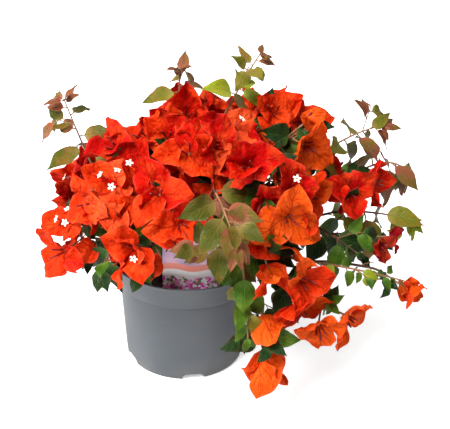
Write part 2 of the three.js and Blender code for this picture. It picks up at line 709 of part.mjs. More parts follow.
// A leaf from a point on a stem that runs along way. It turns round the stem, then shrinks, until it fits.
function leaf(mass, index, root, along, turn, pitch, size) {
  for (const [swing, share] of LEAF_TRIES) {
    const spin = around(along, turn + swing);
    const rise = (pitch + 10 * sway(mass.seed, index, 30)) * RAD;
    const way = along.clone().multiplyScalar(Math.cos(rise)).addScaledVector(spin, Math.sin(rise));
    way.addScaledVector(UP, -LEAF_SAG[mass.kind]).normalize();
    const top = leafFace(root, along);
    top.addScaledVector(way, -top.dot(way)).normalize();
    const length = size * share * (1 + 0.12 * sway(mass.seed, index, 31));
    if (place(mass, { ...LEAF, root, way, top, length, width: length * LEAF.width })) return;
  }
}

// ------------------------------------------------------------------ the rule for masses

function bloomHeads(mass) {
  const face = direction(mass.face);
  return Array.from({ length: mass.heads }, (_, index) => {
    const offset = around(face, mass.roll + (360 * index) / mass.heads).multiplyScalar(mass.spread);
    const centre = polar(mass.at).add(offset);
    const axis = face.clone().addScaledVector(offset, HEAD_LEAN).normalize();
    return { index, centre, axis, roll: mass.roll + 47 * index + 30 * sway(mass.seed, index, 0) };
  });
}

// The point at a share t of a path's steps, on its straight runs, and the direction of the run there.
function onPath(path, t) {
  const place = Math.min(t, 0.999) * (path.length - 1);
  const i = Math.floor(place);
  const along = path[i + 1].clone().sub(path[i]).normalize();
  return [path[i].clone().lerp(path[i + 1], place - i), along];
}

// Leaves along a mass's stem, where it lies in the mass's own cell.
function stemLeaves(mass) {
  const { shares, size, pitch } = STEM_LEAVES;
  shares.forEach((share, k) => {
    const [root, along] = onPath(mass.stemPath, share);
    const turn = GOLDEN * k + 360 * chance(mass.seed, 60, 1);
    leaf(mass, 60 + k, root, along, turn, pitch, size * (mass.leafy ?? 1));
  });
}

function growBloom(mass) {
  for (const head of bloomHeads(mass)) {
    for (let k = 0; k < 3; k += 1) bract(mass, head, k);
  }
  const { count, share, most, pitch, turn } = HEAD_LEAVES;
  for (let k = 0; k < count; k += 1) {
    const size = Math.min(mass.size * share, most) * (mass.leafy ?? 1);
    const angle = mass.roll + turn + (360 * k) / count;
    leaf(mass, 40 + k, mass.root, direction(mass.face), angle, pitch, size);
  }
  stemLeaves(mass);
}

function growShoot(mass) {
  const { first, footShare, tipShare, footPitch, tipPitch } = SHOOT_LEAVES;
  for (let k = 0; k < mass.leaves; k += 1) {
    const t = mix(first, 1, k / (mass.leaves - 1));
    const [root, along] = onPath(mass.axisPath, t);
    const size = mass.size * mix(footShare, tipShare, t * t);
    const angle = GOLDEN * k + 360 * chance(mass.seed, 0, 2);
    leaf(mass, k, root, along, angle, mix(footPitch, tipPitch, t), size);
  }
  stemLeaves(mass);
}

// The twigs of a mass as paths with radii: the stem first, which runs on to the tip of a shoot or to the
// first head of a bloom, and then a pedicel for each other head.
function massTwigs(mass) {
  const stem = mass.stemPath;
  const stemRadii = stem.map((_, i) => mix(STEM.footRadius, STEM.tipRadius, i / STEM.steps));
  if (mass.kind === 'shoot') {
    const axis = mass.axisPath.slice(1);
    const axisRadii = axis.map((_, i) => mix(STEM.tipRadius, SHOOT.tipRadius, (i + 1) / axis.length));
    return [{ path: [...stem, ...axis], radii: [...stemRadii, ...axisRadii] }];
  }
  const { footRadius, headRadius, endRadius, sink, knee, sag, nub } = PEDICEL;
  const face = direction(mass.face);
  const pedicels = bloomHeads(mass).map((head) => ({
    path: [
      mass.root.clone().addScaledVector(face, -sink),
      mass.root.clone().lerp(head.centre, knee).addScaledVector(face, -sag),
      head.centre,
      head.centre.clone().addScaledVector(head.axis, nub),
    ],
    radii: [footRadius, footRadius, headRadius, endRadius],
  }));
  pedicels[0].path = [...stem, ...pedicels[0].path.slice(1)];
  pedicels[0].radii = [...stemRadii, ...pedicels[0].radii.slice(1)];
  return pedicels;
}

// ------------------------------------------------------------------ growing the bush

MASSES.forEach((mass, index) => {
  mass.seed = index;
  mass.blades = [];
  mass.root = massRoot(mass);
  if (mass.kind === 'shoot') mass.axisPath = steps(SHOOT.steps, (t) => shootPoint(mass, t));
  mass.site = massSite(mass);
});

const curves = Object.fromEntries(Object.keys(BOUGHS).map((bough) => [bough, boughCurve(bough)]));

const trunkPath = steps(2, (t) => trunkAxis(mix(SOIL_TOP, TRUNK.top, t)));
const limbs = limbSegments('trunk', trunkPath, trunkPath.map(() => TRUNK.radius));

for (const [bough, curve] of Object.entries(curves)) {
  const path = boughPath(curve);
  limbs.push(...limbSegments(bough, path, path.map((_, i) => boughRadius(i / BOUGH.steps))));
  const ways = spreadStems(curve, members(bough));
  members(bough).forEach((mass, i) => {
    mass.stemPath = steps(STEM.steps, stemCurve(curve, ways[i], mass));
    mass.twigs = massTwigs(mass);
    for (const { path: twig, radii } of mass.twigs) limbs.push(...limbSegments(mass, twig, radii));
  });
}

for (const mass of MASSES) {
  if (mass.kind === 'bloom') growBloom(mass);
  else growShoot(mass);
}

function massGeometry(mass) {
  const [stem, ...pedicels] = mass.twigs.map(({ path, radii }) => solid(tube(path, radii, STEM.sides)));
  const seated = stem.subtract(boughSolid(curves[mass.bough], CLEARANCE));
  let geometry = null;
  for (const sink of ROOT_SINKS) {
    geometry = body(fuse([seated, ...pedicels, ...mass.blades.map((blade) => bladeSolid(blade, sink))]));
    if (isSound(geometry)) break;
  }
  return geometry;
}

// ------------------------------------------------------------------ the assembly

function part(name, geometry, look) {
  const [color, roughness] = COLOURS[look];
  const mesh = new THREE.Mesh(geometry, new THREE.MeshStandardMaterial({ color, roughness, metalness: 0 }));
  mesh.name = name;
  return mesh;
}

const bush = new THREE.Group();
bush.add(part('pot', body(potSolid()), 'pot'));
bush.add(part('soil', body(soilSolid()), 'soil'));
bush.add(part('label', body(card(0)), 'label'));
bush.add(part('trunk', body(trunkSolid(0)), 'bark'));

const trunkRoom = trunkSolid(CLEARANCE);
for (const [bough, curve] of Object.entries(curves)) {
  bush.add(part(`bough_${bough}`, body(boughSolid(curve, 0).subtract(trunkRoom)), 'bark'));
}
for (const mass of MASSES) {
  bush.add(part(mass.name, massGeometry(mass), mass.kind));
}

export default bush;
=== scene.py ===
import math

import bpy
import numpy as np
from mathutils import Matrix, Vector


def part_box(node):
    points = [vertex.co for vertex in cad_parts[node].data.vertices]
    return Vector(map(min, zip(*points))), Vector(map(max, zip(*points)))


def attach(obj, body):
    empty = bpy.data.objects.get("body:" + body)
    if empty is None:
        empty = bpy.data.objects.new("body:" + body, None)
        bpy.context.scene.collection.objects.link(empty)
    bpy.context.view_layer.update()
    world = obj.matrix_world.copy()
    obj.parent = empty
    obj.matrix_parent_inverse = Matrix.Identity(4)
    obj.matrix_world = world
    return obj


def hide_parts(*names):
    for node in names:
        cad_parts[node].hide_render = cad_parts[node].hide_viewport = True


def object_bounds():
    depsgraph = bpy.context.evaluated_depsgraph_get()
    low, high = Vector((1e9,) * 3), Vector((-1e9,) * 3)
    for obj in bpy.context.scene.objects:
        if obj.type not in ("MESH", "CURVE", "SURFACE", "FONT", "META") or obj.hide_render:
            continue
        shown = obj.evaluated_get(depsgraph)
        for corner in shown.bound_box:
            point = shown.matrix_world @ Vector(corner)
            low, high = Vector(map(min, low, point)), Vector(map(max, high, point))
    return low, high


# A bougainvillea bush in its nursery pot: the looks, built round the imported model.
#
# The bush grows again here by the rule of its solids. Stems leave the boughs' knobs and carry masses, each
# in its own cell of space, and the growth goes on to side twigs, petioles, florets, buds and thorns.
# Lengths are in millimetres until a mesh is made, and azimuths run from +X towards +Y.

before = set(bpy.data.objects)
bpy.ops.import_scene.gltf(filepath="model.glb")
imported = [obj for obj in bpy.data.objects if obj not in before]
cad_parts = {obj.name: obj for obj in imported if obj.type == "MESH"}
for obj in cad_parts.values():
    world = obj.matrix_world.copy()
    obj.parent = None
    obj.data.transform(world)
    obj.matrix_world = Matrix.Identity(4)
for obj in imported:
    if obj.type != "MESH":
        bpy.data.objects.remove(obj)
cad_low, cad_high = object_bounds()

# ------------------------------------------------------------------ driving dimensions

MM = 0.001
UP = np.array([0.0, 0.0, 1.0])
FRONT = np.array([0.0, -1.0, 0.0])
GOLDEN = 137.5

pot_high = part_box("pot")[1]
label_low, label_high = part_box("label")
POT = dict(
    rim_radius=pot_high.x / MM, height=pot_high.z / MM, band_height=29.0, band_foot_radius=75.5,
    wall_top_radius=73.4, base_radius=67.0, wall=1.8, inner_floor=8.0, segments=240,
)
WALL_TOP = POT["height"] - POT["band_height"]
POCKET = dict(count=5, first_azimuth=-79.0, half_width=12.5, height=5.6, depth=15.0)
SOIL_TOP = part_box("soil")[1].z / MM
LABEL = dict(
    left=label_low.x / MM, right=label_high.x / MM, y=(label_low.y + label_high.y) / 2 / MM,
    foot=label_low.z / MM, top=label_high.z / MM, thickness=0.8, corner=4.0, bow=1.2,
)
TRUNK = dict(
    top=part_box("trunk")[1].z / MM, lean=(7.0, -4.0), flare_radius=12.0, foot_radius=8.5, top_radius=6.0,
    flare_fade=14, ridges=0.3,
)

# Limbs. A bough's knob stands over the pot's rim where it reaches past free_reach. Stems that leave one knob
# are pushed apart, in rounds, until they are spread degrees from each other and more from the bough. Boughs
# swell at the collar and the knob, and stems crook and swell at their joints.
BOUGH = dict(
    foot_radius=3.4, tip_radius=2.1, knob=4.2, run=0.52, arch=0.24, knob_room=22.0, free_reach=50.0,
    collar=1.4, collar_fade=12, knob_share=0.07, ridges=0.13,
)
STEM = dict(
    foot_radius=1.7, tip_radius=1.2, leave=0.36, arrive=0.26, spread=60.0, from_bough=1.5,
    push=0.3, rounds=60, crook=0.7, crook_pace=14, joints=6, joint_swell=0.12, joint_share=0.12,
)
PEDICEL = dict(foot_radius=0.8, head_radius=1.2, length=17.0)

# A bloom's site stands in front of its middle by this share of a bract's length.
SITE_LIFT = 0.3

# Blades: the outline's widest place follows from the powers root and tip, and bend is degrees in all.
# fold is the rise of the sides from the midrib, ripple the waves of the margin, crumple the creases over
# the face, and curl how far the tip turns up or down.
BRACT = dict(
    width=0.87, thickness=0.5, bend=26.0, root=0.62, tip=1.04, columns=13, rows=16,
    fold=0.36, ripple=0.090, crumple=0.046, curl=0.16,
)
LEAF = dict(
    width=0.61, thickness=0.6, bend=42.0, root=0.70, tip=1.45, columns=9, rows=12,
    fold=0.36, ripple=0.030, crumple=0.008, curl=0.12,
)
PETIOLE = dict(share=0.14, lift=0.18, radius=0.3, per_length=0.012, taper=0.8)

# How chance makes each blade uneven: its bend and fold, the swell and the notches of its margin, its twist
# in radians from foot to tip, and how far its tip drifts to a side.
UNEVEN = dict(bend=0.6, fold=0.55, fold_sway=0.8, swell=0.05, notch=0.03, twist=0.45, drift=0.07)

# Space that foliage leaves free. A cell's slack is how far a blade may lean into its neighbours' cells.
# The label stays in sight from the front and above: its top edge of sight falls from sight_left to
# sight_right, and rises by sight_slope for each millimetre in front of it. Blades are tested against each
# other at points in rows, with tested columns in each, if their middles are nearer than near.
KEEP = dict(
    rim=2.0, limb=1.0, blade=1.9, label_side=2.0, sight_left=166.0, sight_right=130.0, sight_slope=0.488,
    slack=13.0, box=4.0, near=60.0, rows=(0.22, 0.42, 0.6, 0.8), columns=5, most_blades=6000,
)

# How a blade finds room: each try closes a bract or swings a leaf by degrees, and gives it a share of its
# length. LEAF_FACE weighs the ways in which a leaf's upper side looks, LEAF_SAG is how far the leaf hangs,
# and LEAF_SLACK how far it may lean out of its cell.
BRACT_TRIES = ((0, 1), (14, 1), (-12, 1), (28, 0.96), (40, 0.9), (50, 0.8), (10, 0.66))
LEAF_TRIES = (
    (0, 1), (30, 1), (-30, 1), (60, 1), (-60, 1), (95, 0.92), (-95, 0.92), (140, 0.85), (180, 0.85),
    (0, 0.68),
)
LEAF_FACE = dict(up=0.5, along=0.2, out=0.35, front=0.7)
LEAF_SAG = dict(bloom=0.1, inner=0.2, shoot=0.6)
LEAF_SLACK = dict(bloom=KEEP["slack"] * 0.8, inner=60.0, shoot=18.0)

# Spreads by chance, then heads, shoots and the leaves along stems, boughs and side twigs. Shares run from 0
# at a path's foot to 1 at its end, and pitch is how far a leaf stands off its twig. A shoot has SHOOT_TWIG's
# side twigs if its leaves are longer than FINE_SHOOT, and every other mass has SIDE_TWIG's.
SWAY = dict(bract_size=0.08, opening=8.0, leaf_size=0.12, leaf_pitch=10.0, roll=30.0, second_tint=0.35)
HEAD = dict(lean=0.022, turn=47.0, leaves=3, leaf_size=1.05, most_leaf=46.0, leaf_pitch=82.0)
SHOOT = dict(
    first_leaf=0.13, foot_size=1.05, tip_size=0.5, foot_pitch=68.0, tip_pitch=34.0, tip_slim=0.72,
    tip_leaves=4, tip_leaf=0.48, tip_radius=0.7, woody_under=60.0,
)
STEM_LEAF = dict(shares=(0.4, 0.62, 0.84), size=40.0, pitch=62.0)
INNER_LEAF = dict(shares=(0.3, 0.45, 0.6, 0.72, 0.84, 0.96), size=42.0, pitch=58.0, ways=3)
SIDE_HEAD = dict(
    first=0.56, step=0.15, length=25.0, sway=6.0, size=0.92, closing=4.0, radius=0.9, bow=1.5,
    turn=55, turn_sway=40, along=0.45, forward=0.25, out=0.9, front=0.6,
)
SIDE_TWIG = dict(
    shares=(0.34, 0.58, 0.76, 0.93), length=24.0, sway=0.25, ahead=0.8, bow=2, foot_radius=0.75,
    end_radius=0.45, leaf=24.0, least_leaf=0.4, leaf_shares=(0.45, 0.8, 1.0), foot_pitch=48, pitch_fall=20,
)
SHOOT_TWIG = dict(SIDE_TWIG, shares=(0.34, 0.84), leaf=29.0)
FINE_SHOOT = 25.0
LEAFAGE = ("dark_green", "mid_green")
FLORET = dict(
    tube=(0.6, 0.7, 0.75, 0.85, 1.1, 1.3), bud=(0.55, 0.6, 0.65, 0.8, 1.05, 1.2, 1.0, 0.6), star=4.4,
    spread=0.50, bud_spread=0.30, spread_sway=0.3, foot=1.1, open_length=0.50, bud_length=0.46,
    bud_sway=0.07, star_rings=(0.25, 0.5, 0.8, 1.0, 0.97, 0.5, 0.25),
    star_rise=(0.0, 0.5, 0.9, 0.7, 0.45, 0.05, -0.5), heart=(0.7, 0.95, 0.85, 0.4),
)
THORN = dict(
    length=6.5, sway=0.3, radius=0.6, tip_radius=0.12, along=1.5, crook=1.6, hook=0.6,
    shares=(0.22, 0.36, 0.5, 0.66, 0.8),
)
CRUMBS = dict(count=420, least=0.9, most=3.4)

# The label's printed bands: the height in metres where each one starts, and how far its edge fades.
LABEL_BANDS = ((0.127, 0.0012), (0.135, 0.0008), (0.142, 0.0008))

# The room, in metres, degrees, watts and shares of white.
CAMERA = dict(target=(0.0416, 0.0, 0.1711), distance=0.850, elevation=26.0, roll=2.0, lens=62.88)
FLOOR = dict(reach=8.0, level=-0.0004, glow=0.45, near=0.45, far=0.95)
ROOM = dict(seen=1.0, lit=0.26)
LIGHTS = dict(
    key=dict(azimuth=-128, elevation=52, distance=2.5, size=1.2, power=116.0),
    side=dict(azimuth=-176, elevation=14, distance=2.5, size=1.0, power=58.0),
    back=dict(azimuth=70, elevation=50, distance=2.2, size=1.4, power=18.0),
)

# Boughs: how high on the trunk each one leaves it, and how far its knob swings round from its masses.
BOUGHS = dict(
    left_low=(126, 0), left=(142, 0), top_left=(153, 0), front_left=(136, -20), front=(151, 0),
    top=(174, 0), top_right=(160, 0), right=(145, 0), right_low=(131, 0), front_right=(138, 0),
    hanging=(121, 12), back_left=(134, 0), back_right=(148, 0),
)


def bloom(name, bough, at, face, stars=0, side=3, leafy=1.0, **look):
    names = dict(kind="bloom", name=name, bough=bough, at=at, face=face)
    return dict(names, stars=stars, side=side, leafy=leafy, **look)


def shoot(name, bough, at, face, tip="bronze", leafy=1.0, **look):
    return dict(kind="shoot", name=name, bough=bough, at=at, face=face, tip=tip, leafy=leafy, **look)


# Masses, as in the solids, with their tints. at is azimuth, reach and rise, and face is azimuth and
# elevation. A bloom names the two tints of its bracts, how many of its florets are open stars, if any, and
# how many side heads it has, if not three. A shoot names the two tints of its leaves and the tint of its tip,
# if not bronze. leafy is the share of their size that the other leaves of a mass have.
# Among the bract tints, deep red paints shade on heads in shadow and orange paints light on lit heads.
MASSES = [
    bloom("bloom_left_low", "left_low", (-159, 127, 161), (-132, 24),
        heads=2, spread=15, roll=90, size=37, opening=58, tints=("flame", "scarlet"), stars=3, side=2),
    bloom("bloom_left_mid", "left_low", (-140, 95, 212), (-116, 28),
        heads=3, spread=17, roll=80, size=39, opening=60, tints=("flame", "coral"), stars=3),
    shoot("leaves_left", "left_low", (-137, 102, 157), (-112, -30),
        length=24, droop=30, leaves=3, size=46, tints=("dark_green", "mid_green"), tip="dark_green"),
    bloom("bloom_left_high", "left", (-158, 68, 240), (-118, 36),
        heads=2, spread=15, roll=-40, size=37, opening=62, tints=("deep_red", "scarlet"), stars=2),
    bloom("bloom_far_left", "left", (176, 119, 194), (172, 25),
        heads=1, spread=0, roll=0, size=33, opening=48, tints=("deep_red", "scarlet")),
    shoot("shoot_left", "left", (174, 116, 252), (178, 68),
        length=66, droop=-12, leaves=9, size=50, tints=("moss", "bronze")),
    bloom("bloom_top_left", "top_left", (96, 22, 272), (-88, 46),
        heads=1, spread=0, roll=90, size=40, opening=52, tints=("flame", "scarlet")),
    bloom("bloom_upper_left", "top_left", (-170, 30, 256), (-120, 40),
        heads=2, spread=12, roll=15, size=36, opening=52, tints=("scarlet", "flame")),
    shoot("shoot_top_left", "top_left", (107, 37, 303), (100, 78),
        length=36, droop=8, leaves=6, size=38, tints=("bronze", "olive")),
    bloom("bloom_front_left", "front_left", (-96, 97, 221), (-92, 26),
        heads=2, spread=17, roll=-52, size=39, opening=56, tints=("flame", "scarlet")),
    bloom("bloom_front_low", "front_left", (-112, 108, 182), (-108, 24),
        heads=1, spread=0, roll=-72, size=38, opening=58, tints=("flame", "orange"), stars=1),
    shoot("leaves_label", "front_left", (-75, 124, 199), (-140, -8),
        length=36, droop=16, leaves=5, size=44, tints=("bronze", "moss")),
    bloom("bloom_mid_top", "top", (-85, 62, 264), (-97, 40),
        heads=1, spread=0, roll=60, size=39, opening=62, tints=("flame", "scarlet")),
    bloom("bloom_centre_top", "top", (-56, 66, 274), (-78, 38),
        heads=2, spread=12, roll=50, size=38, opening=60, tints=("deep_red", "coral"), stars=1),
    shoot("shoot_top", "top", (16, 56, 314), (10, 64),
        length=78, droop=10, leaves=10, size=42, tints=("olive", "lime")),
    bloom("bloom_centre_right", "front", (-49, 125, 257), (-78, 30),
        heads=2, spread=22, roll=-28, size=40, opening=62, tints=("deep_red", "scarlet"), stars=2),
    shoot("shoot_centre", "front", (-72, 138, 237), (-72, -8),
        length=66, droop=22, leaves=9, size=46, tints=("moss", "bronze")),
    bloom("bloom_top_right", "top_right", (2, 100, 280), (-72, 34),
        heads=2, spread=13, roll=-25, size=38, opening=50, tints=("flame", "coral")),
    bloom("bloom_high_right", "top_right", (-21, 123, 272), (-56, 0),
        heads=1, spread=0, roll=90, size=38, opening=46, tints=("orange", "flame")),
    shoot("shoot_top_right", "top_right", (4, 176, 267), (8, 34),
        length=62, droop=22, leaves=8, size=46, tints=("olive", "bronze")),
    bloom("bloom_right", "right", (-9, 178, 222), (-44, 16),
        heads=2, spread=17, roll=0, size=34, opening=56, tints=("scarlet", "deep_red")),
    shoot("shoot_right", "right", (5, 218, 238), (8, 26),
        length=60, droop=66, leaves=8, size=52, tints=("bronze", "olive")),
    shoot("leaves_right", "right", (-8, 206, 194), (-8, 4),
        length=50, droop=16, leaves=6, size=54, tints=("lime", "olive"), tip="lime"),
    shoot("leaves_right_low", "right_low", (-24, 162, 187), (-34, -4),
        length=58, droop=20, leaves=8, size=50, tints=("dark_green", "mid_green"), tip="dark_green"),
    bloom("bloom_small_right", "right_low", (-16, 211, 176), (-36, 4),
        heads=2, spread=12, roll=0, size=21, opening=40, leafy=0.6, tints=("crimson", "deep_red"), side=1),
    shoot("shoot_low_right", "right_low", (-27, 196, 160), (-8, -4),
        length=92, droop=6, leaves=12, size=24, leafy=0.55, tints=("mid_green", "lime")),
    bloom("bloom_far_right", "right_low", (-20, 234, 139), (-30, -22),
        heads=1, spread=0, roll=90, size=30, opening=34, leafy=0.5, tints=("orange", "flame"), side=0),
    bloom("bloom_right_mid", "front_right", (-46, 144, 222), (-80, 12),
        heads=1, spread=0, roll=80, size=43, opening=60, tints=("orange", "flame")),
    bloom("bloom_hang_mid", "front_right", (-46, 164, 150), (-62, -10),
        heads=2, spread=15, roll=86, size=38, opening=50, tints=("orange", "flame"), side=2),
    bloom("bloom_hang_right", "front_right", (-37, 187, 116), (-62, -22),
        heads=2, spread=14, roll=10, size=36, opening=52, leafy=0.7, tints=("orange", "orange"), side=1),
    bloom("bloom_hang_left", "hanging", (-54, 141, 176), (-70, -40),
        heads=1, spread=0, roll=90, size=36, opening=34, tints=("flame", "orange"), side=1),
    shoot("leaves_hang", "hanging", (-62, 137, 142), (-76, -62),
        length=62, droop=14, leaves=9, size=38, tints=("mid_green", "olive"), tip="mid_green"),
    bloom("bloom_hang_low", "hanging", (-56, 151, 87), (-66, -66),
        heads=1, spread=0, roll=10, size=48, opening=20, tints=("orange", "coral"), side=1),
    bloom("bloom_back_left_low", "back_left", (150, 134, 172), (148, 14),
        heads=3, spread=19, roll=30, size=40, opening=58, tints=("flame", "scarlet"), stars=3),
    bloom("bloom_back_left", "back_left", (134, 98, 213), (132, 34),
        heads=3, spread=19, roll=70, size=38, opening=58, tints=("scarlet", "deep_red"), stars=3),
    bloom("bloom_back_low", "back_left", (108, 122, 180), (106, 10),
        heads=3, spread=19, roll=10, size=40, opening=58, tints=("flame", "orange"), stars=2),
    shoot("leaves_back", "back_left", (122, 142, 128), (120, -48),
        length=64, droop=20, leaves=9, size=42, tints=("mid_green", "dark_green"), tip="mid_green"),
    bloom("bloom_back_high", "back_right", (88, 86, 246), (92, 40),
        heads=3, spread=19, roll=50, size=41, opening=58, tints=("flame", "coral"), stars=3),
    bloom("bloom_back_right", "back_right", (52, 128, 238), (56, 30),
        heads=3, spread=20, roll=0, size=41, opening=58, tints=("scarlet", "flame"), stars=3),
    bloom("bloom_back_right_low", "back_right", (62, 146, 180), (64, 4),
        heads=3, spread=20, roll=40, size=40, opening=58, tints=("orange", "scarlet"), stars=2),
    shoot("leaves_back_right", "back_right", (30, 190, 196), (26, 2),
        length=72, droop=24, leaves=10, size=44, tints=("mid_green", "lime"), tip="mid_green"),
]

# ------------------------------------------------------------------ seeded chance and directions


def chance(seed, index, draw):
    """A number from 0 to 1 that depends only on three whole numbers: whose, which piece and which draw."""
    word = 0xFFFFFFFF
    mixed = ((seed + 1) * 374761393 + (index + 7) * 668265263 + (draw + 3) * 2246822519) & word
    mixed = ((mixed ^ (mixed >> 13)) * 1274126177) & word
    return (mixed ^ (mixed >> 16)) / (word + 1)


def sway(seed, index, draw):
    """A number from -1 to 1."""
    return 2 * chance(seed, index, draw) - 1


def mix(a, b, t):
    return a + (b - a) * t


def unit(vector):
    return vector / np.linalg.norm(vector)


def direction(angles):
    """The unit vector at an azimuth and an elevation."""
    azimuth, elevation = np.radians(angles)
    flat = math.cos(elevation)
    return np.array([flat * math.cos(azimuth), flat * math.sin(azimuth), math.sin(elevation)])


def polar(place):
    """The point at an azimuth, a reach from the pot's axis and a rise above its foot."""
    azimuth, reach, rise = place
    return np.array([reach * math.cos(math.radians(azimuth)), reach * math.sin(math.radians(azimuth)), rise])


def around(axis, angle):
    """The unit vector at an angle round an axis, from the level one towards the one that leans up."""
    level = np.cross(UP, axis)
    level = unit(level) if level @ level > 1e-4 else np.array([1.0, 0.0, 0.0])
    lean = unit(np.cross(axis, level))
    return level * math.cos(math.radians(angle)) + lean * math.sin(math.radians(angle))


def turned(vector, angle):
    """A vector turned round the upright axis."""
    c, s = math.cos(math.radians(angle)), math.sin(math.radians(angle))
    return np.array([c * vector[0] - s * vector[1], s * vector[0] + c * vector[1], vector[2]])


def bezier(points, t):
    """A Bezier curve at the shares t: the points weighted by the binomial terms of its degree."""
    degree = len(points) - 1
    t = np.asarray(t, float)[:, None]
    return sum(
        math.comb(degree, k) * (1 - t) ** (degree - k) * t ** k * point for k, point in enumerate(points)
    )


# ------------------------------------------------------------------ the rule for limbs and stems


def trunk_axis(z):
    """The trunk's centre at heights z: it leans by the square of its share of the height."""
    z = np.asarray(z, float)
    t = (z - SOIL_TOP) / (TRUNK["top"] - SOIL_TOP)
    return np.stack([TRUNK["lean"][0] * t * t, TRUNK["lean"][1] * t * t, z], axis=-1)


def mass_root(mass):
    """Where a mass is held: behind the heads of a bloom, or at the foot of a shoot's axis."""
    back = PEDICEL["length"] if mass["kind"] == "bloom" else mass["length"] / 2
    return polar(mass["at"]) - direction(mass["face"]) * back


def mass_site(mass):
    """The point whose nearer space is the mass's cell."""
    lift = mass["size"] * SITE_LIFT if mass["kind"] == "bloom" else 0.0
    return polar(mass["at"]) + direction(mass["face"]) * lift


def members(bough):
    return [mass for mass in MASSES if mass["bough"] == bough]


def bough_bends(bough):
    """The three points of a bough's curve: on the trunk's axis, leaning up, and its knob."""
    height, swing = BOUGHS[bough]
    foot = trunk_axis(height)
    mean = turned(np.mean([mass["root"] for mass in members(bough)], axis=0), swing)
    knob = mix(foot, mean, BOUGH["run"])
    if math.hypot(knob[0], knob[1]) > BOUGH["free_reach"]:
        knob[2] = max(knob[2], POT["height"] + BOUGH["knob_room"])
    lean = mix(foot, knob, 0.5) + UP * BOUGH["arch"] * np.linalg.norm(knob - foot)
    return [foot, lean, knob]


def angle_between(a, b):
    return math.acos(max(-1.0, min(1.0, float(unit(a) @ unit(b)))))


def spread_ways(bends, masses):
    """The ways in which stems leave one knob, pushed apart until they are the spread from each other."""
    _, lean, knob = bends
    backward = unit(lean - knob)
    ways = [unit(mass["root"] - knob) for mass in masses]
    least = math.radians(STEM["spread"])
    for _ in range(STEM["rounds"]):
        for i in range(len(ways)):
            others = [(way, least) for j, way in enumerate(ways) if j != i]
            for other, need in [*others, (backward, least * STEM["from_bough"])]:
                gap = angle_between(ways[i], other)
                if gap < need:
                    ways[i] = unit(ways[i] + unit(ways[i] - other) * STEM["push"] * (need - gap))
    return ways


def stem_bends(knob, way, mass):
    """The four points of a stem's curve, which leaves the knob its own way and runs in along the face."""
    distance = np.linalg.norm(mass["root"] - knob)
    leave = knob + way * STEM["leave"] * distance
    arrive = mass["root"] - direction(mass["face"]) * STEM["arrive"] * distance
    return [knob, leave, arrive, mass["root"]]


def shoot_points(mass, t):
    """A shoot's own axis at the shares t: straight along its face, sagging by the square of the share."""
    t = np.asarray(t, float)[:, None]
    droop = math.radians(mass["droop"])
    along = mass["length"] * t * np.cos(droop * t / 2)
    return mass["root"] + direction(mass["face"]) * along - UP * math.sin(droop) * mass["length"] * t * t / 2


def on_path(path, t):
    """The point at a share t of a path's steps, and the direction of the run there."""
    place = min(t, 0.999) * (len(path) - 1)
    i = int(place)
    return mix(path[i], path[i + 1], place - i), unit(path[i + 1] - path[i])


# ------------------------------------------------------------------ the rule for space

limbs = []       # (owner, start, end, radius) of each straight run of a limb
blades = []      # every blade placed so far
blade_centres = np.zeros((KEEP["most_blades"], 3))
blade_points = np.zeros((KEEP["most_blades"], (len(KEEP["rows"]) - 1) * KEEP["columns"] + 1, 3))


def add_limb(owner, path, radius):
    limbs.extend((owner, a, b, radius) for a, b in zip(path[:-1], path[1:]))


def inside_cell(mass, points, slack):
    """Whether the points are nearer to the mass's own site than to any other, less the slack."""
    own = ((points - mass["site"]) ** 2).sum(1)
    others = sites[np.arange(len(sites)) != mass["seed"]]
    far = ((points[:, None] - others) ** 2).sum(2)
    gap = (far - own[:, None]) / (2 * np.linalg.norm(others - mass["site"], axis=1))
    return bool((gap >= -slack).all())


def inside_box(points):
    low = np.array(cad_low) / MM - KEEP["box"]
    high = np.array(cad_high) / MM + KEEP["box"]
    return bool((points > low).all() and (points < high).all())


def clear_of_pot(points):
    above = points[:, 2] > POT["height"] + KEEP["rim"]
    beside = np.hypot(points[:, 0], points[:, 1]) > POT["rim_radius"] + KEEP["rim"]
    return bool((above | beside).all())


def clear_of_label(points):
    side = KEEP["label_side"]
    x, y, z = points.T
    across = (x - LABEL["left"]) / (LABEL["right"] - LABEL["left"])
    sight = mix(KEEP["sight_left"], KEEP["sight_right"], across) + KEEP["sight_slope"] * (LABEL["y"] - y)
    touch = np.where(y > LABEL["y"] - side, LABEL["top"] + side, 0.0)
    beside = (x < LABEL["left"] - side) | (x > LABEL["right"] + side) | (y > LABEL["y"] + side)
    return bool((beside | (z > np.maximum(sight, touch))).all())


def clear_of_limbs(mass, points):
    """Whether the points stay clear of every limb that isn't the mass's own."""
    strange = limb_owner != mass["seed"]
    start, run = limb_start[strange], limb_run[strange]
    ahead = points[:, None] - start
    t = np.clip((ahead * run).sum(2) / (run * run).sum(1), 0, 1)
    distance = np.linalg.norm(ahead - t[..., None] * run, axis=2)
    return bool((distance > limb_radius[strange] + KEEP["limb"]).all())


def clear_of_blades(points):
    """Whether the points past the first row keep the least gap from every blade nearby."""
    near = np.linalg.norm(blade_centres[:len(blades)] - points.mean(0), axis=1) < KEEP["near"]
    there = blade_points[:len(blades)][near].reshape(-1, 3)
    here = points[KEEP["columns"]:]
    return bool((((here[:, None] - there) ** 2).sum(2) > KEEP["blade"] ** 2).all())


def test_points(blade):
    """Points over a blade, row by row along the arc of its midrib, and last its tip."""
    shape, side = blade["shape"], np.cross(blade["way"], blade["top"])
    bend = math.radians(shape["bend"])

    def midrib(t):
        reach, sink = math.sin(bend * t) / bend, (1 - math.cos(bend * t)) / bend
        return blade["root"] + blade["length"] * (blade["way"] * reach - blade["top"] * sink)

    points = []
    for t in KEEP["rows"]:
        half = blade["width"] / 2 * float(outline(shape, np.array(t)))
        points += [midrib(t) + side * half * k for k in np.linspace(-1, 1, KEEP["columns"])]
    return np.array([*points, midrib(1)])


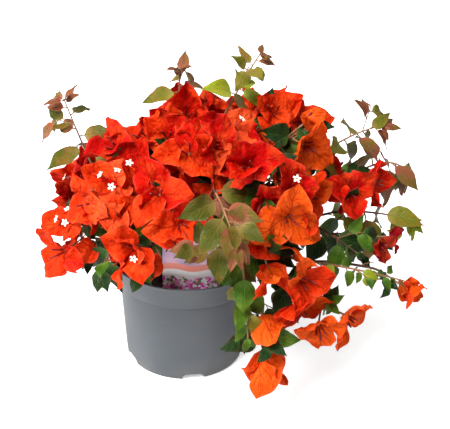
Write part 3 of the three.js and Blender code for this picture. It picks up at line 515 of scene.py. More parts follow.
def place(mass, blade, slack):
    """Adds a blade to the bush if there is room for it, and says whether it did."""
    points = test_points(blade)
    if not (clear_of_pot(points) and clear_of_label(points) and inside_box(points)):
        return False
    if not (inside_cell(mass, points, slack) and clear_of_limbs(mass, points) and clear_of_blades(points)):
        return False
    blade_centres[len(blades)] = points.mean(0)
    blade_points[len(blades)] = points[KEEP["columns"]:]
    blades.append(blade)
    return True


# ------------------------------------------------------------------ the rule for blades and twigs

twigs = []       # (kind, path, radius at its foot, radius at its end)
florets = []     # (open or not, foot, axis, length)


def outline(shape, t):
    """A blade's half-width as a share: t to the power root, times 1 - t to the power tip, over its most."""
    a, b = shape["root"], shape["tip"]
    widest = a / (a + b)
    return t ** a * (1 - t) ** b / (widest ** a * (1 - widest) ** b)


def second(mass, index, draw):
    """Whether chance gives a blade the second tint of its two."""
    return int(chance(mass["seed"], index, draw) < SWAY["second_tint"])


def bract(mass, head, k):
    """One of the three bracts of a head. It closes, then shortens, until it fits."""
    seed, index = mass["seed"], head["index"]
    spin = around(head["axis"], head["roll"] + 120 * k)
    size = head["size"] * (1 + SWAY["bract_size"] * sway(seed, index, 10 + k))
    for closing, share in BRACT_TRIES:
        opening = math.radians(head["opening"] + SWAY["opening"] * sway(seed, index, 20 + k) - closing)
        blade = dict(
            shape=BRACT, tint=mass["tints"][second(mass, index, 40 + k)], seed=seed, index=100 * index + k,
            root=head["centre"], way=head["axis"] * math.cos(opening) + spin * math.sin(opening),
            top=head["axis"] * math.sin(opening) - spin * math.cos(opening),
            length=size * share, width=size * share * BRACT["width"],
        )
        if place(mass, blade, KEEP["slack"]):
            return True
    return False


def leaf_face(root, along):
    """Where the upper side of a leaf looks: up, along its twig, out from the pot's axis and to the front."""
    out = unit(root * (1, 1, 0))
    ways = dict(up=UP, along=along, out=out, front=FRONT)
    return sum(way * LEAF_FACE[name] for name, way in ways.items())


def leaf(mass, index, root, along, turn, pitch, size, tint, slim=1.0):
    """A leaf from a point on a twig. It swings round the way along the twig, then shrinks, until it fits."""
    seed = mass["seed"]
    for swing, share in LEAF_TRIES:
        spin = around(along, turn + swing)
        rise = math.radians(pitch + SWAY["leaf_pitch"] * sway(seed, index, 30))
        way = unit(along * math.cos(rise) + spin * math.sin(rise) - UP * LEAF_SAG[mass["kind"]])
        top = leaf_face(root, along)
        top = unit(top - way * (top @ way))
        whole = size * share * (1 + SWAY["leaf_size"] * sway(seed, index, 31))
        stalk = whole * PETIOLE["share"]
        length = whole - stalk
        blade = dict(
            shape=LEAF, tint=tint, seed=seed, index=index, root=root + way * stalk, way=way, top=top,
            length=length, width=length * LEAF["width"] * slim,
        )
        if place(mass, blade, LEAF_SLACK[mass["kind"]]):
            knee = root + way * stalk * 0.5 + top * stalk * PETIOLE["lift"]
            path = np.array([root, knee, root + way * stalk * 1.1])
            radius = PETIOLE["radius"] + PETIOLE["per_length"] * size
            twigs.append(("young", path, radius, radius * PETIOLE["taper"]))
            return


def leaf_tint(mass, index):
    """A leaf's tint, dealt out by chance from its shoot's two, or from those of a bloom's leaves."""
    return (mass["tints"] if mass["kind"] == "shoot" else LEAFAGE)[second(mass, index, 50)]


def grow_head(mass, head, stars):
    """Three bracts round three florets, if two of them have room. The first stars of the florets are open."""
    if sum([bract(mass, head, k) for k in range(3)]) < 2:
        return
    seed, index = mass["seed"], head["index"]
    for k in range(3):
        spin = around(head["axis"], head["roll"] + 120 * k)
        apart = FLORET["spread"] if k < stars else FLORET["bud_spread"]
        lean = unit(head["axis"] + spin * apart * (1 + FLORET["spread_sway"] * sway(seed, index, 60 + k)))
        bud = FLORET["bud_length"] + FLORET["bud_sway"] * sway(seed, index, 63 + k)
        length = head["size"] * (FLORET["open_length"] if k < stars else bud)
        florets.append((k < stars, head["centre"] + spin * FLORET["foot"], lean, length))


def main_heads(mass):
    """The heads of a bloom, spread evenly round its centre and leaning apart."""
    face = direction(mass["face"])
    heads = []
    for index in range(mass["heads"]):
        spread = mass["spread"] if mass["heads"] > 1 else 0.0
        offset = around(face, mass["roll"] + 360 * index / mass["heads"]) * spread
        heads.append(dict(
            index=index, centre=polar(mass["at"]) + offset, axis=unit(face + HEAD["lean"] * offset),
            roll=mass["roll"] + HEAD["turn"] * index + SWAY["roll"] * sway(mass["seed"], index, 0),
            size=mass["size"], opening=mass["opening"],
        ))
    return heads


def side_heads(mass):
    """Smaller heads on side twigs, which leave the stem behind the main heads and fill out the mass."""
    face = direction(mass["face"])
    heads = []
    for k in range(mass["side"]):
        index = 10 + k
        foot, along = on_path(mass["stem"], SIDE_HEAD["first"] + SIDE_HEAD["step"] * k)
        turn = mass["roll"] + SIDE_HEAD["turn"] + 360 * k / mass["side"]
        out = around(face, turn + SIDE_HEAD["turn_sway"] * sway(mass["seed"], index, 1))
        way = unit(out + along * SIDE_HEAD["along"] + face * SIDE_HEAD["forward"])
        centre = foot + way * (SIDE_HEAD["length"] + SIDE_HEAD["sway"] * sway(mass["seed"], index, 2))
        path = np.array([foot, mix(foot, centre, 0.5) + UP * SIDE_HEAD["bow"], centre])
        twigs.append(("stem", path, SIDE_HEAD["radius"], SIDE_HEAD["radius"]))
        heads.append(dict(
            index=index, centre=centre, axis=unit(out * SIDE_HEAD["out"] + face * SIDE_HEAD["front"]),
            roll=90 * k + 360 * chance(mass["seed"], index, 3),
            size=mass["size"] * SIDE_HEAD["size"], opening=mass["opening"] - SIDE_HEAD["closing"],
        ))
    return heads


def grow_bloom(mass):
    """Main heads, a ring of leaves behind them, and side heads."""
    for number, head in enumerate(main_heads(mass)):
        grow_head(mass, head, min(max(mass["stars"] - 3 * number, 0), 3))
    size = min(mass["size"] * HEAD["leaf_size"], HEAD["most_leaf"]) * mass["leafy"]
    for k in range(HEAD["leaves"]):
        index, turn = 40 + k, mass["roll"] + 60 + 120 * k
        leaf(mass, index, mass["root"], direction(mass["face"]), turn, HEAD["leaf_pitch"], size,
            leaf_tint(mass, index))
    for head in side_heads(mass):
        grow_head(mass, head, 0)


def grow_shoot(mass):
    """Leaves that turn by the golden angle up the axis and shrink to its tip, and a spray at the tip."""
    count = mass["leaves"]
    for k in range(count):
        t = mix(SHOOT["first_leaf"], 1, k / (count - 1))
        root, along = on_path(mass["axis"], t)
        size = mass["size"] * mix(SHOOT["foot_size"], SHOOT["tip_size"], t * t)
        tint = mass["tip"] if k >= count - 2 else leaf_tint(mass, k)
        turn = GOLDEN * k + 360 * chance(mass["seed"], 0, 2)
        pitch = mix(SHOOT["foot_pitch"], SHOOT["tip_pitch"], t)
        leaf(mass, k, root, along, turn, pitch, size, tint, mix(1, SHOOT["tip_slim"], t * t))
    tip, along = mass["axis"][-1], unit(mass["axis"][-1] - mass["axis"][-2])
    for k in range(SHOOT["tip_leaves"]):
        leaf(mass, 80 + k, tip, along, 90 * k + 30, SHOOT["tip_pitch"], mass["size"] * SHOOT["tip_leaf"],
            mass["tip"], SHOOT["tip_slim"])


def stem_leaves(mass):
    """Leaves along a mass's stem, where it lies in the mass's own cell."""
    for index, t in enumerate(STEM_LEAF["shares"]):
        root, along = on_path(mass["stem"], t)
        turn = GOLDEN * index + 360 * chance(mass["seed"], 60, 1)
        leaf(mass, 60 + index, root, along, turn, STEM_LEAF["pitch"], STEM_LEAF["size"] * mass["leafy"],
            leaf_tint(mass, 60 + index))


def side_twigs(mass):
    """Fine twigs with small leaves along the stem and a shoot's axis."""
    path = np.vstack([mass["stem"], mass["axis"][1:]]) if mass["kind"] == "shoot" else mass["stem"]
    twig = SHOOT_TWIG if mass["kind"] == "shoot" and mass["size"] > FINE_SHOOT else SIDE_TWIG
    for k, t in enumerate(twig["shares"]):
        root, along = on_path(path, t)
        way = unit(around(along, GOLDEN * k + 360 * chance(mass["seed"], k, 70)) + along * twig["ahead"])
        length = twig["length"] * (1 + twig["sway"] * sway(mass["seed"], k, 71))
        end = root + way * length - UP * twig["bow"]
        if not (inside_cell(mass, end[None], KEEP["slack"]) and clear_of_pot(end[None])):
            continue
        run = np.array([root, mix(root, end, 0.5) + UP * twig["bow"], end])
        twigs.append(("young", run, twig["foot_radius"], twig["end_radius"]))
        for n, share in enumerate(twig["leaf_shares"]):
            foot, ahead = on_path(run, share)
            index = 200 + 10 * k + n
            size = twig["leaf"] * mix(twig["least_leaf"], 1.0, mass["leafy"])
            pitch = twig["foot_pitch"] - twig["pitch_fall"] * share
            leaf(mass, index, foot, ahead, GOLDEN * n + 90 * k, pitch, size, leaf_tint(mass, index))


def bough_leaves(bough):
    """Leaves along a bough and round its knob, which fill the crown's dark inside where there is room."""
    path = bezier(bends[bough], np.linspace(0, 1, 13))
    holder = dict(members(bough)[0], kind="inner")
    for k, t in enumerate(INNER_LEAF["shares"]):
        root, along = on_path(path, t)
        for n in range(INNER_LEAF["ways"]):
            turn = GOLDEN * k + 360 * n / INNER_LEAF["ways"]
            leaf(holder, 400 + 10 * k + n, root, along, turn, INNER_LEAF["pitch"], INNER_LEAF["size"],
                LEAFAGE[n == 0])


for seed, mass in enumerate(MASSES):
    mass["seed"] = seed
    mass["root"] = mass_root(mass)
    mass["site"] = mass_site(mass)
    if mass["kind"] == "shoot":
        mass["axis"] = shoot_points(mass, np.linspace(0, 1, 13))
sites = np.array([mass["site"] for mass in MASSES])

trunk_path = trunk_axis(np.linspace(SOIL_TOP, TRUNK["top"], 3))
add_limb(-1, trunk_path, TRUNK["foot_radius"])
bends = {bough: bough_bends(bough) for bough in BOUGHS}
for bough, points in bends.items():
    add_limb(-1, bezier(points, np.linspace(0, 1, 5)), BOUGH["foot_radius"])
    ways = spread_ways(points, members(bough))
    for mass, way in zip(members(bough), ways):
        mass["stem"] = bezier(stem_bends(points[2], way, mass), np.linspace(0, 1, 17))
        add_limb(mass["seed"], mass["stem"][::4], STEM["foot_radius"])
limb_owner, limb_start, limb_end, limb_radius = (np.array(column) for column in zip(*limbs))
limb_run = limb_end - limb_start

for mass in MASSES:
    (grow_bloom if mass["kind"] == "bloom" else grow_shoot)(mass)
for mass in MASSES:
    stem_leaves(mass)
    side_twigs(mass)
for bough in BOUGHS:
    bough_leaves(bough)

# ------------------------------------------------------------------ surfaces as whole arrays


def ring_faces(rings, sides, count):
    """The faces of count closed skins, each of rings joined in turn, with a pole before and after them.

    Points of one skin run: root pole, rings in order, tip pole.
    """
    size = rings * sides + 2
    r, k = np.meshgrid(np.arange(rings - 1), np.arange(sides), indexing="ij")
    a = 1 + r * sides + k
    b = 1 + r * sides + (k + 1) % sides
    quads = np.stack([a, b, b + sides, a + sides], axis=-1).reshape(-1, 4)
    k = np.arange(sides)
    last = 1 + (rings - 1) * sides
    root = np.stack([1 + (k + 1) % sides, 1 + k, np.zeros(sides, int)], axis=-1)
    tip = np.stack([last + k, last + (k + 1) % sides, np.full(sides, size - 1)], axis=-1)
    start = (np.arange(count) * size)[:, None, None]
    return (quads[None] + start).reshape(-1, 4), (np.vstack([root, tip])[None] + start).reshape(-1, 3)


def skins(rings, root, tip):
    """Points and faces of closed skins from rings (skin, ring, side, xyz) and the poles before and after."""
    count, length, sides = rings.shape[:3]
    points = np.concatenate([root[:, None], rings.reshape(count, -1, 3), tip[:, None]], axis=1)
    return points.reshape(-1, 3), ring_faces(length, sides, count)


def tubes(paths, radii, sides, relief=None):
    """Round tubes along paths (tube, step, xyz): at each step a circle of the radius, square to the run.

    Each tube's own side vector is carried along, turned only as its path turns. relief, if given, is added
    to the radii as an array of (tube, step, side).
    """
    run = np.gradient(paths, axis=1)
    run /= np.linalg.norm(run, axis=2, keepdims=True)
    side = np.cross(UP, run[:, 0])
    level = np.linalg.norm(side, axis=1, keepdims=True)
    side = np.where(level > 0.01, side / np.maximum(level, 1e-9), [1.0, 0.0, 0.0])
    sides_along = []
    for step in range(paths.shape[1]):
        side = side - run[:, step] * (side * run[:, step]).sum(1, keepdims=True)
        side /= np.linalg.norm(side, axis=1, keepdims=True)
        sides_along.append(side)
    across = np.stack(sides_along, axis=1)
    other = np.cross(run, across)
    angle = np.linspace(0, 2 * np.pi, sides, endpoint=False)
    reach = np.broadcast_to(radii[..., None], radii.shape + (sides,))
    reach = reach if relief is None else reach + relief
    ring = across[:, :, None] * np.cos(angle)[:, None] + other[:, :, None] * np.sin(angle)[:, None]
    rings = paths[:, :, None] + ring * reach[..., None]
    cap = radii[:, [0, -1]] * 0.35
    root = paths[:, 0] - run[:, 0] * cap[:, :1]
    tip = paths[:, -1] + run[:, -1] * cap[:, 1:]
    return skins(rings, root, tip)


def smooth_path(points, count):
    """A path of count points through a short list of points, as a Bezier curve of them."""
    return bezier(list(points), np.linspace(0, 1, count))


def sheets(group, shape):
    """Blades as closed thin sheets, all at once, over (blade, row t, column u).

    The midrib is an arc that turns away from the upper face by bend, and its tip curls by curl times t to
    the fourth. The half-width is the outline's, with two sine waves along it. The sides rise by fold times
    |u| to the power 1.4, and the margin waves by ripple times u squared. Three sine waves, slanted over the
    face, crumple it. The upper and lower faces part by the thickness times 1 - u squared, so they meet in a
    sharp margin.
    """
    def column(name):
        return np.array([blade[name] for blade in group], float)

    def swing(draw):
        return np.array([sway(blade["seed"], blade["index"], draw) for blade in group])[:, None, None]

    root, way, top = column("root"), column("way"), column("top")
    side = np.cross(way, top)
    length, width = column("length")[:, None, None], column("width")[:, None, None]
    t = (np.arange(1, shape["rows"]) / shape["rows"])[None, :, None]
    u = np.linspace(-1, 1, shape["columns"])[None, None, :]

    bend = np.radians(shape["bend"]) * (1 + UNEVEN["bend"] * swing(80))
    angle = bend * t
    along = length * np.sin(angle) / bend
    sink = length * (1 - np.cos(angle)) / bend
    notches = np.sin(23 * t + 5 * swing(88) * np.sign(u))
    edge = 1 + UNEVEN["swell"] * np.sin(9 * t + 3 * swing(81)) + UNEVEN["notch"] * notches
    half = width / 2 * outline(shape, t) * edge
    fold = shape["fold"] * (UNEVEN["fold"] + UNEVEN["fold_sway"] * swing(82))
    wave = np.sin(2 * np.pi * (t * (1.5 + 0.5 * swing(83)) + swing(84) + 0.23 * np.sign(u)))
    creases = (
        np.sin(2 * np.pi * (1.2 * t + 0.6 * u + swing(85)))
        + 0.6 * np.sin(2 * np.pi * (2.3 * t - 1.3 * np.abs(u) + swing(89)))
        + 0.35 * np.sin(2 * np.pi * (3.9 * t - 2.1 * np.abs(u) + swing(90)))
    )
    lift = fold * half * np.abs(u) ** 1.4 + length * (
        shape["ripple"] * wave * u ** 2 + shape["crumple"] * creases * np.sin(np.pi * t)
        + shape["curl"] * swing(91) * t ** 4
    )
    twist = UNEVEN["twist"] * swing(86) * t
    part = shape["thickness"] / 2 * (1 - u ** 2)
    drift = length * UNEVEN["drift"] * swing(87) * t ** 2

    def face(sign):
        """The upper face with sign 1 and the lower with -1."""
        sideways = u * half * np.cos(twist) + drift
        upward = lift + u * half * np.sin(twist) + sign * part
        run = (along + upward * np.sin(angle))[..., None]
        rise = (upward * np.cos(angle) - sink)[..., None]
        place = root[:, None, None] + way[:, None, None] * run + top[:, None, None] * rise
        return place + side[:, None, None] * sideways[..., None]

    rings = np.concatenate([face(1), face(-1)[:, :, -2:0:-1]], axis=2)
    bend, whole, curl = bend[:, 0], length[:, 0], shape["curl"] * swing(91)[:, 0]
    ahead = whole * (np.sin(bend) / bend + curl * np.sin(bend))
    fall = whole * ((1 - np.cos(bend)) / bend - curl * np.cos(bend))
    tip = root + way * ahead - top * fall + side * (whole * UNEVEN["drift"] * swing(87)[:, 0])
    columns = np.concatenate([u[0, 0], u[0, 0, -2:0:-1]]) / 2 + 0.5
    rows = t[0, :, 0]
    chart = np.stack(np.broadcast_arrays(columns[None, :], rows[:, None]), axis=-1).reshape(-1, 2)
    chart = np.concatenate([[[0.5, 0.0]], chart, [[0.5, 1.0]]])
    points, faces = skins(rings, root, tip)
    return points, faces, np.tile(chart, (len(group), 1))


def under_side(faces, shape):
    """1 for each face of a blade's lower side and 0 for its upper, in the order of the faces."""
    sides = 2 * (shape["columns"] - 1)
    below = np.arange(sides) >= shape["columns"] - 1
    per_blade = shape["rows"] - 2
    count = len(faces[0]) // (per_blade * sides)
    return np.concatenate([
        np.tile(np.tile(below, per_blade), count), np.tile(np.tile(below, 2), count),
    ]).astype(int)


# ------------------------------------------------------------------ pieces


def piece(name, points, faces, materials, chart=None, finish=None, sharp=50):
    """One joined object in metres from points in millimetres and arrays of faces, riding on the root body."""
    mesh = bpy.data.meshes.new(name)
    mesh.from_pydata((points * MM).tolist(), [], [face for group in faces for face in group.tolist()])
    for material in materials:
        mesh.materials.append(material)
    if finish is not None:
        mesh.polygons.foreach_set("material_index", np.asarray(finish, np.int32))
    mesh.polygons.foreach_set("use_smooth", np.ones(len(mesh.polygons), bool))
    if chart is not None:
        corner = np.empty(len(mesh.loops), np.int32)
        mesh.loops.foreach_get("vertex_index", corner)
        mesh.uv_layers.new(name="chart").data.foreach_set("uv", chart[corner].astype(np.float32).ravel())
    mesh.set_sharp_from_angle(angle=math.radians(sharp))
    mesh.validate()
    made = bpy.data.objects.new(name, mesh)
    bpy.context.scene.collection.objects.link(made)
    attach(made, "root")
    return made


def merge(parts):
    """Several (points, (quads, triangles)) as one."""
    points, quads, triangles, start = [], [], [], 0
    for own, (four, three) in parts:
        points.append(own)
        quads.append(four + start)
        triangles.append(three + start)
        start += len(own)
    return np.vstack(points), (np.vstack(quads), np.vstack(triangles))


# ------------------------------------------------------------------ shader groups and materials


def linear(*rgb):
    """A colour given in the usual 0 to 255 steps, as linear light with full alpha."""
    share = np.array(rgb) / 255
    light = np.where(share <= 0.04045, share / 12.92, ((share + 0.055) / 1.055) ** 2.4)
    return (*light.tolist(), 1.0)


class Nodes:
    """A short way to lay out one node tree. A value for a socket is a number, a colour or another socket."""

    def __init__(self, tree):
        self.tree = tree

    def give(self, socket, value):
        if isinstance(value, bpy.types.NodeSocket):
            self.tree.links.new(value, socket)
        else:
            socket.default_value = value

    def add(self, kind, inputs=(), **values):
        node = self.tree.nodes.new(kind)
        for name, value in values.items():
            setattr(node, name, value)
        for name, value in dict(inputs).items():
            self.give(node.inputs[name], value)
        return node

    def math(self, operation, a, b=0.0, clamp=False):
        return self.add("ShaderNodeMath", {0: a, 1: b}, operation=operation, use_clamp=clamp).outputs[0]

    def noise(self, vector, scale, detail=2.0, roughness=0.5):
        inputs = {"Vector": vector, "Scale": scale, "Detail": detail, "Roughness": roughness}
        return self.add("ShaderNodeTexNoise", inputs).outputs[0]

    def blend(self, share, a, b):
        return self.add("ShaderNodeMix", {0: share, 6: a, 7: b}, data_type="RGBA").outputs[2]

    def span(self, value, low, high, to_low=0.0, to_high=1.0):
        inputs = {0: value, 1: low, 2: high, 3: to_low, 4: to_high}
        return self.add("ShaderNodeMapRange", inputs, clamp=True).outputs[0]


def shader_group(name, inputs, outputs):
    """An empty node group with named float or vector inputs and float outputs."""
    tree = bpy.data.node_groups.new(name, "ShaderNodeTree")
    for label, value in inputs.items():
        kind = "NodeSocketVector" if value is None else "NodeSocketFloat"
        socket = tree.interface.new_socket(label, in_out="INPUT", socket_type=kind)
        if value is not None:
            socket.default_value = value
    for label in outputs:
        tree.interface.new_socket(label, in_out="OUTPUT", socket_type="NodeSocketFloat")
    nodes = Nodes(tree)
    return tree, nodes, nodes.add("NodeGroupInput").outputs, nodes.add("NodeGroupOutput").inputs


def vein_group():
    """Veins over a blade's chart: a midrib, paired side veins that run up and out, and a fine net."""
    tree, n, given, out = shader_group(
        "Blade veins", {"Chart": None, "Place": None, "Pairs": 7.0, "Slant": 0.45, "Width": 0.05},
        ("Veins", "Height", "Margin", "Along"),
    )
    axes = n.add("ShaderNodeSeparateXYZ", {0: given["Chart"]}).outputs
    across = n.math("ABSOLUTE", n.math("SUBTRACT", n.math("MULTIPLY", axes[0], 2.0), 1.0))
    drift = n.math("MULTIPLY", n.math("SUBTRACT", n.noise(given["Place"], 160.0, 1.0), 0.5), 0.10)
    climb = n.math("SUBTRACT", n.math("ADD", axes[1], drift), n.math("MULTIPLY", across, given["Slant"]))
    beat = n.math("FRACT", n.math("MULTIPLY", climb, given["Pairs"]))
    nearness = n.math("ABSOLUTE", n.math("SUBTRACT", beat, 0.5))
    side_width = n.math("MULTIPLY", given["Width"], 2.2)
    side_vein = n.math("SUBTRACT", 1.0, n.math("DIVIDE", nearness, side_width), clamp=True)
    side_vein = n.math("MULTIPLY", side_vein, n.span(across, 0.95, 0.5, 0.15, 0.8))
    midrib = n.math("SUBTRACT", 1.0, n.math("DIVIDE", across, given["Width"]), clamp=True)
    net = {"Vector": given["Place"], "Scale": 420.0}
    net = n.add("ShaderNodeTexVoronoi", net, feature="DISTANCE_TO_EDGE").outputs["Distance"]
    net_line = n.span(net, 0.10, 0.0, 0.0, 0.35)
    veins = n.math("MAXIMUM", n.math("MAXIMUM", midrib, side_vein), net_line)
    n.give(out["Veins"], veins)
    n.give(out["Height"], n.math("SUBTRACT", 1.0, veins))
    n.give(out["Margin"], n.span(across, 0.84, 1.0))
    n.give(out["Along"], axes[1])
    return tree


def mottle_group():
    """Broad and fine unevenness over a surface, and sharp creases, from noise at named sizes."""
    tree, n, given, out = shader_group(
        "Mottle", {"Place": None, "Broad": 20.0, "Fine": 300.0, "Creases": 90.0, "Balance": 0.5},
        ("Broad", "Fine", "Height", "Creases"),
    )
    swell = n.noise(given["Place"], given["Creases"], 2.0, 0.55)
    ridge = n.math("ABSOLUTE", n.math("SUBTRACT", swell, 0.5))
    n.give(out["Creases"], n.span(ridge, 0.0, 0.16))
    broad = n.noise(given["Place"], given["Broad"], 3.0)
    fine = n.noise(given["Place"], given["Fine"], 4.0, 0.6)
    n.give(out["Broad"], n.span(broad, 0.3, 0.7))
    n.give(out["Fine"], n.span(fine, 0.3, 0.7))
    n.give(out["Height"], n.math("ADD", n.math("MULTIPLY", broad, given["Balance"]), fine))
    return tree


VEINS = vein_group()
MOTTLE = mottle_group()


def material(name):
    """A new material: its node helper, its Principled shader and its Object coordinates."""
    made = bpy.data.materials.new(name)
    made.use_nodes = True
    n = Nodes(made.node_tree)
    shader = made.node_tree.nodes["Principled BSDF"]
    place = n.add("ShaderNodeTexCoord").outputs["Object"]
    return made, n, shader, place


def effect(n, tree, **inputs):
    """The outputs of a shader group with these inputs."""
    return n.add("ShaderNodeGroup", inputs, node_tree=tree).outputs


def bump(n, shader, height, strength, distance):
    inputs = {"Height": height, "Strength": strength, "Distance": distance}
    n.give(shader.inputs["Normal"], n.add("ShaderNodeBump", inputs).outputs[0])


def surface(n, shader, colour, fine, gloss, dull):
    """A shader's colour, and a roughness that runs from gloss to dull with the fine mottle."""
    n.give(shader.inputs["Base Color"], colour)
    n.give(shader.inputs["Roughness"], n.span(fine, 0.0, 1.0, gloss, dull))


def shade_of(colour, factor):
    return (*(min(channel * factor, 1.0) for channel in colour[:3]), 1.0)


def between(colour, other, share):
    """A colour part of the way to another."""
    return tuple(mix(np.array(colour), np.array(other), share))


def blade_material(name, tint, vein, margin, root, patch, shares, gloss, shine, glow, relief, crumple, pairs):
    """Papery or waxy blade: a tint with patches, painted shade along its creases, veins, margin and root, lit
    through from behind.

    shares are how far the shade, the patch, the painted shade in creases, the vein and the margin take the
    place of the tint.
    """
    made, n, shader, place = material(name)
    chart = n.add("ShaderNodeTexCoord").outputs["UV"]
    veins = effect(n, VEINS, Chart=chart, Place=place, Pairs=pairs)
    uneven = effect(n, MOTTLE, Place=place, Broad=38.0, Fine=260.0)
    patches = n.span(n.noise(place, 46.0, 3.0, 0.6), 0.46, 0.60, 0.0, shares["patch"])
    colour = n.blend(n.math("MULTIPLY", uneven["Broad"], shares["shade"]), tint, shade_of(tint, 0.62))
    colour = n.blend(patches, colour, patch)
    # Painted shade: the tint darkens along the crease lines, where shade would fall in the folds.
    crease_shade = n.span(uneven["Creases"], 0.3, 0.0, 0.0, shares["crease_shade"])
    colour = n.blend(crease_shade, colour, shade_of(tint, 0.5))
    colour = n.blend(n.span(veins["Along"], 0.30, 0.0, 0.0, 0.75), colour, root)
    colour = n.blend(n.math("MULTIPLY", veins["Veins"], shares["vein"]), colour, vein)
    colour = n.blend(n.math("MULTIPLY", veins["Margin"], shares["margin"]), colour, margin)
    surface(n, shader, colour, uneven["Fine"], gloss - 0.06, gloss + 0.08)
    shader.inputs["Specular IOR Level"].default_value = shine
    height = n.math("ADD", veins["Height"], n.math("MULTIPLY", uneven["Height"], 0.35))
    height = n.math("ADD", height, n.math("MULTIPLY", uneven["Creases"], crumple))
    bump(n, shader, height, relief, 0.0009)
    through = n.add("ShaderNodeBsdfTranslucent", {"Color": colour}).outputs[0]
    both = n.add("ShaderNodeMixShader", {0: glow, 1: shader.outputs[0], 2: through}).outputs[0]
    n.give(n.tree.nodes["Material Output"].inputs["Surface"], both)
    return made


# Partly the bracts' own reds and partly painted light: deep red paints shade and orange paints light.
BRACT_TINTS = dict(
    flame=linear(250, 60, 8), scarlet=linear(238, 26, 4), orange=linear(255, 96, 14),
    coral=linear(253, 88, 40), deep_red=linear(220, 8, 3), crimson=linear(176, 10, 32),
)
# Leaves: the tint, the tint of its patches, and that of its midrib and root.
LEAF_TINTS = dict(
    dark_green=(linear(22, 52, 10), linear(18, 42, 10), linear(86, 128, 58)),
    mid_green=(linear(56, 98, 8), linear(88, 118, 14), linear(120, 160, 70)),
    lime=(linear(142, 158, 14), linear(166, 162, 34), linear(178, 190, 80)),
    moss=(linear(78, 88, 10), linear(128, 92, 28), linear(168, 140, 76)),
    olive=(linear(112, 116, 12), linear(144, 104, 34), linear(176, 160, 84)),
    bronze=(linear(140, 84, 50), linear(100, 98, 24), linear(180, 84, 66)),
)


def bract_materials(tint):
    """The inner and outer faces of bracts of one tint."""
    colour = BRACT_TINTS[tint]
    # The share for creases sets how far painted shade darkens the bracts' creases.
    looks = dict(
        margin=between(colour, linear(255, 132, 108), 0.5), root=shade_of(colour, 0.7),
        patch=between(colour, linear(255, 116, 40), 0.32), gloss=0.58, shine=0.10, glow=0.34, relief=0.9,
        crumple=1.7, pairs=5.0, shares=dict(shade=0.38, patch=0.85, crease_shade=0.1, vein=0.7, margin=0.35),
    )
    inner = blade_material(f"bract {tint}", colour, linear(168, 14, 8), **looks)
    outer = blade_material(f"bract back {tint}", shade_of(colour, 0.94), linear(132, 12, 8), **looks)
    return [inner, outer]


def leaf_materials(tint):
    """The waxy upper faces and dull under faces of leaves of one tint."""
    colour, patch, rib = LEAF_TINTS[tint]
    dull = between(colour, linear(150, 160, 120), 0.35)
    edge = between(colour, linear(150, 70, 62), 0.5)
    # The share for creases sets how far painted shade darkens the leaves' creases.
    looks = dict(
        root=rib, patch=patch, shine=0.2, glow=0.18, relief=0.9, crumple=0.4, pairs=6.0,
        shares=dict(shade=0.5, patch=0.85, crease_shade=0.1, vein=0.5, margin=0.6),
    )
    upper = blade_material(f"leaf {tint}", colour, rib, margin=edge, gloss=0.38, **looks)
    under = blade_material(f"leaf under {tint}", dull, rib, margin=dull, gloss=0.6, **looks)
    return [upper, under]


def stalk_material(name, dark, light, gloss):
    """Bark of stems and twigs: two tints mottled, with a fine bumpy relief and pale specks."""
    made, n, shader, place = material(name)
    uneven = effect(n, MOTTLE, Place=place, Broad=60.0, Fine=700.0)
    colour = n.blend(uneven["Broad"], dark, light)
    spots = n.add("ShaderNodeTexVoronoi", {"Vector": place, "Scale": 380.0}).outputs["Distance"]
    colour = n.blend(n.span(spots, 0.22, 0.12, 0.0, 0.5), colour, shade_of(light, 1.6))
    surface(n, shader, colour, uneven["Fine"], gloss, gloss + 0.2)
    bump(n, shader, uneven["Height"], 0.8, 0.0008)
    return made


def plain_material(name, colour, other, scale, gloss, relief):
    """A small piece's finish: two close tints mottled at a scale, with a little relief."""
    made, n, shader, place = material(name)
    uneven = effect(n, MOTTLE, Place=place, Broad=scale, Fine=scale * 6)
    surface(n, shader, n.blend(uneven["Broad"], colour, other), uneven["Fine"], gloss, gloss + 0.15)
    bump(n, shader, uneven["Height"], relief, 0.0005)
    return made


def pot_material():
    """Matte grey moulded plastic: fine grain, cloudy scuffs, dust near the foot and a few dark specks."""
    made, n, shader, place = material("grey moulded plastic")
    uneven = effect(n, MOTTLE, Place=place, Broad=14.0, Fine=900.0)
    grey = n.blend(uneven["Broad"], linear(66, 71, 76), linear(74, 79, 84))
    stretched = n.add("ShaderNodeMapping", {"Vector": place, "Scale": (1.0, 1.0, 6.0)}).outputs[0]
    scuff = n.span(n.noise(stretched, 34.0, 6.0, 0.7), 0.62, 0.74, 0.0, 0.35)
    grey = n.blend(scuff, grey, linear(104, 108, 112))
    height = n.add("ShaderNodeSeparateXYZ", {0: place}).outputs[2]
    dust = n.math("MULTIPLY", n.span(height, 0.030, 0.0), n.span(uneven["Broad"], 0.2, 0.9, 0.0, 0.4))
    grey = n.blend(dust, grey, linear(116, 112, 104))
    dots = n.add("ShaderNodeTexVoronoi", {"Vector": place, "Scale": 75.0}).outputs["Distance"]
    speck = n.math("MULTIPLY", n.span(dots, 0.085, 0.05), n.span(height, 0.09, 0.12))
    surface(n, shader, n.blend(speck, grey, linear(58, 50, 44)), uneven["Fine"], 0.46, 0.6)
    bump(n, shader, uneven["Fine"], 0.12, 0.0004)
    return made


def soil_material():
    """Damp dark compost with paler fibres."""
    made, n, shader, place = material("dark compost")
    uneven = effect(n, MOTTLE, Place=place, Broad=130.0, Fine=900.0)
    brown = n.blend(uneven["Broad"], linear(30, 22, 17), linear(62, 46, 34))
    fibre = n.span(n.noise(place, 520.0, 5.0, 0.7), 0.66, 0.76, 0.0, 0.7)
    n.give(shader.inputs["Base Color"], n.blend(fibre, brown, linear(112, 86, 60)))
    shader.inputs["Roughness"].default_value = 0.95
    bump(n, shader, uneven["Height"], 1.0, 0.003)
    return made


